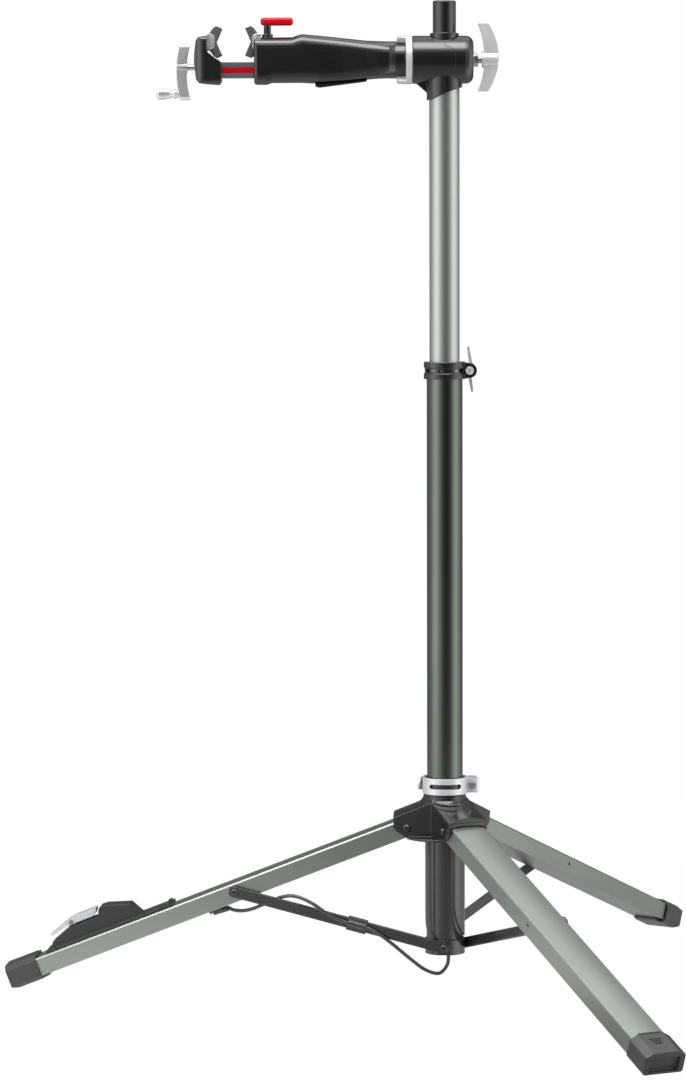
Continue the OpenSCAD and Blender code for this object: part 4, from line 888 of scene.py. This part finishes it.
class STAND_OT_stage(bpy.types.Operator):
    """Floor, cards and sheets that only mirror rays meet, lamps, world and camera"""

    bl_idname = "repair_stand.stage"
    bl_label = "Studio"

    # Dome of the studio: its radius, the height of its middle, and the faces across and up each patch of it
    dome = 9.0
    dome_z = 1.0
    dome_across, dome_up = 48, 16
    # Radius of the floor, its height and its card's height, and the distances over which it fades
    floor_r = 2.2
    floor_z, card_z = -0.0004, -0.0002
    floor_fade = (0.9, 2.0)
    # Wall: its rises in degrees, then directions from the front and the brightness mirror rays meet there
    wall_rises = (-50, 42)
    wall = ((-180, 0.15), (-150, 0.2), (-125, 0.45), (-98, 0.8), (-76, 1.8), (-57, 1.95), (-40, 1.1),
            (-23, 0.42), (-7, 0.15), (9, 0.06), (25, 0.12), (41, 0.4), (57, 1.3), (76, 2.0), (98, 1.15),
            (125, 0.42), (150, 0.2), (180, 0.15))
    # Brightest level round the wall and the floor
    wall_top = 2.0
    # Directions and brightness for the floor, which mirror rays from the low pieces meet
    ground = ((-180, 0.5), (-125, 0.6), (-98, 0.9), (-76, 1.2), (-57, 1.2), (-40, 0.85), (-23, 0.55),
              (0, 0.35), (25, 0.5), (41, 0.8), (57, 1.7), (76, 2.0), (98, 1.1), (125, 0.6), (180, 0.5))
    # Sheets over the stand: name, brightness, and turns from the front and rises in degrees
    sheets = (
        ("front_box", "box_glow", (-60, 60), (56, 90)),
        ("back_sheet", "back_glow", (125, 173), (45, 82)),
        ("left_sheet", "left_glow", (-102, -58), (51, 80)),
    )
    # Lamps: name, power, place, the point they face, and size
    lamps = (
        ("side_lamp_left", "side_power", (-2.6, -1.2, 1.5), (0, 0, 0.7), (1.6, 2.4)),
        ("side_lamp_right", "side_power", (2.6, -1.0, 1.5), (0, 0, 0.7), (1.6, 2.4)),
        ("top_lamp", "top_power", (0.0, -0.4, 3.2), (0, 0, 0.5), (2.4, 2.4)),
        ("front_lamp", "front_power", (-0.6, -4.6, 2.6), (0, 0, 0.8), (1.6, 1.2)),
    )
    # Strength of the world's light on the stand, while the camera and mirror rays see it full white
    world_light = 0.28

    def floor(self):
        """Pale floor that fades out round the stand."""
        bm = bmesh.new()
        bmesh.ops.create_circle(bm, cap_ends=True, segments=96, radius=self.floor_r)
        obj = bpy.data.objects.new("floor", mesh_from("floor", bm))
        bpy.context.scene.collection.objects.link(obj)
        obj.location.z = self.floor_z
        f = Finish("pale_floor")
        where = f.node("ShaderNodeTexCoord", out="Object")
        away = f.node("ShaderNodeVectorMath", {"operation": "LENGTH"}, {0: where}, out="Value")
        fade = away.ramp(*self.floor_fade)
        seen = self.seen(f)
        paper = f.noise(f.place(), 900, 2, 0.5)
        white = f.mix(paper, (0.86, 0.86, 0.86), (0.9, 0.9, 0.9))
        matt = f.node("ShaderNodeBsdfDiffuse", None, {"Color": white}, out="BSDF")
        glow = f.node("ShaderNodeEmission", None, {"Color": (1, 1, 1), "Strength": 1.0}, out="Emission")
        lit = f.node("ShaderNodeMixShader", None, {0: seen, 1: matt, 2: glow}, out="Shader")
        clear = f.node("ShaderNodeBsdfTransparent", out="BSDF")
        both = f.node("ShaderNodeMixShader", None, {0: fade, 1: lit, 2: clear}, out="Shader")
        f.node("ShaderNodeOutputMaterial", None, {"Surface": both})
        obj.data.materials.append(f.material)

    def seen(self, f):
        """1 for rays from the camera, mirror rays and rays through glass."""
        rays = f.node("ShaderNodeLightPath").socket.node
        camera, mirror, glass = (
            Val(f, rays.outputs[n]) for n in ("Is Camera Ray", "Is Glossy Ray", "Is Transmission Ray"))
        return camera.max(mirror).max(glass)

    def dome_patch(self, name, turns, rises, shade):
        """Patch of the dome, between two turns from the front and two rises, that only mirror rays meet."""
        bm = bmesh.new()
        across, up = self.dome_across, self.dome_up
        rows = []
        for k in range(across + 1):
            turn = math.radians(turns[0] + (turns[1] - turns[0]) * k / across)
            row = []
            for j in range(up + 1):
                rise = math.radians(rises[0] + (rises[1] - rises[0]) * j / up)
                out = self.dome * math.cos(rise)
                row.append(bm.verts.new((
                    out * math.sin(turn), -out * math.cos(turn), self.dome_z + self.dome * math.sin(rise))))
            rows.append(row)
        for one, two in zip(rows, rows[1:]):
            for j in range(up):
                bm.faces.new((one[j], one[j + 1], two[j + 1], two[j]))
        self.mirror_only(name, bm, shade)

    def floor_card(self):
        """Card on the floor, darker in front of the stand than at its sides."""
        bm = bmesh.new()
        bmesh.ops.create_circle(bm, cap_ends=True, segments=96, radius=self.floor_r)
        bmesh.ops.translate(bm, verts=bm.verts, vec=(0, 0, self.card_z))
        self.mirror_only("floor_card", bm, self.round_shade(self.ground))

    def mirror_only(self, name, bm, shade):
        """Glowing piece of the studio that only mirror rays meet."""
        obj = bpy.data.objects.new(name, mesh_from(name, bm))
        bpy.context.scene.collection.objects.link(obj)
        f = Finish(name)
        level, colour = shade(f)
        shine = f.node("ShaderNodeEmission", None, {"Color": colour, "Strength": level}, out="Emission")
        f.node("ShaderNodeOutputMaterial", None, {"Surface": shine})
        obj.data.materials.append(f.material)
        obj.visible_camera = False
        obj.visible_diffuse = False
        obj.visible_shadow = False
        obj.visible_transmission = False

    def round_shade(self, levels):
        """Brightness round the stand, by direction from the front."""
        def shade(f):
            where = f.node("ShaderNodeTexCoord", out="Object")
            parts = f.node("ShaderNodeSeparateXYZ", None, {0: where}).socket.node
            turn = f.node("ShaderNodeMath", {"operation": "ARCTAN2"},
                          {0: Val(f, parts.outputs[0]), 1: Val(f, parts.outputs[1]) * -1})
            stops = [((turn_at + 180) / 360, (level / self.wall_top,) * 3) for turn_at, level in levels]
            ramp = f.node("ShaderNodeValToRGB", {"stops": stops}, {0: turn / (2 * math.pi) + 0.5})
            return self.wall_top, ramp
        return shade

    def cloth_shade(self, level):
        """Cloth of a lit sheet with the given brightness."""
        def shade(f):
            cloth = f.noise(f.place(), 40, 2, 0.5)
            return level, f.mix(cloth, (0.95, 0.95, 0.95), (1.0, 1.0, 1.0))
        return shade

    def lamp(self, name, power, at, target, size):
        """Rectangular lamp that mirror rays do not meet."""
        data = bpy.data.lights.new(name, "AREA")
        data.shape = "RECTANGLE"
        data.size, data.size_y = size
        data.energy = power
        obj = bpy.data.objects.new(name, data)
        bpy.context.scene.collection.objects.link(obj)
        obj.location = at
        obj.rotation_euler = (Vector(target) - Vector(at)).to_track_quat("-Z", "Y").to_euler()
        obj.visible_glossy = False

    def make_world(self, scene):
        """White world that lights the stand softly."""
        world = bpy.data.worlds.new("studio")
        world.use_nodes = True
        scene.world = world
        f = Finish("studio", world.node_tree)
        level = self.seen(f) * (1 - self.world_light) + self.world_light
        back = f.node("ShaderNodeBackground", None, {"Color": (1, 1, 1), "Strength": level}, out="Background")
        f.node("ShaderNodeOutputWorld", None, {"Surface": back})

    def make_camera(self, scene, studio):
        """Camera fitted to the photo."""
        data = bpy.data.cameras.new("camera")
        data.sensor_fit = "VERTICAL"
        data.sensor_height = 36.0
        data.lens = studio.lens
        data.clip_end = 100.0
        camera = bpy.data.objects.new("camera", data)
        scene.collection.objects.link(camera)
        dip = Matrix.Rotation(math.pi / 2 - studio.camera_dip, 4, "X")
        roll = Matrix.Rotation(studio.camera_roll, 4, "Z")
        camera.matrix_world = Matrix.Translation(Vector(studio.camera_at)) @ (dip @ roll)
        scene.camera = camera

    def execute(self, context):
        scene = context.scene
        studio = scene.stand_studio
        scene.view_settings.view_transform = "Standard"
        self.floor()
        self.floor_card()
        self.dome_patch("wall", (-180, 180), self.wall_rises, self.round_shade(self.wall))
        for name, glow, turns, rises in self.sheets:
            self.dome_patch(name, turns, rises, self.cloth_shade(getattr(studio, glow)))
        for name, power, at, target, size in self.lamps:
            self.lamp(name, getattr(studio, power), at, target, size)
        self.make_world(scene)
        self.make_camera(scene, studio)
        return {"FINISHED"}


OPERATORS = (STAND_OT_stage, STAND_OT_cable, STAND_OT_tubes, STAND_OT_castings, STAND_OT_mouldings,
             STAND_OT_bright, STAND_OT_jaw, STAND_OT_details)


class STAND_PT_panel(bpy.types.Panel):
    """Pieces of the stand"""

    bl_idname = "STAND_PT_panel"
    bl_label = "Repair stand"
    bl_space_type = "VIEW_3D"
    bl_region_type = "UI"
    bl_category = "Repair stand"

    def draw(self, context):
        for kind in OPERATORS:
            self.layout.operator(kind.bl_idname)
        for group in (context.scene.stand_finishes, context.scene.stand_sizes, context.scene.stand_studio):
            box = self.layout.box()
            for name in group.__annotations__:
                box.prop(group, name)


CLASSES = (StandFinishes, StandSizes, StandStudio, *OPERATORS, STAND_PT_panel)
GROUPS = {"stand_finishes": StandFinishes, "stand_sizes": StandSizes, "stand_studio": StandStudio}


def register():
    for kind in CLASSES:
        bpy.utils.register_class(kind)
    for name, group in GROUPS.items():
        setattr(bpy.types.Scene, name, PointerProperty(type=group))


def unregister():
    for name in GROUPS:
        delattr(bpy.types.Scene, name)
    for kind in reversed(CLASSES):
        bpy.utils.unregister_class(kind)


def main():
    """Build every piece."""
    register()
    for kind in OPERATORS:
        group, name = kind.bl_idname.split(".")
        getattr(getattr(bpy.ops, group), name)()


if __name__ == "__main__":
    main()
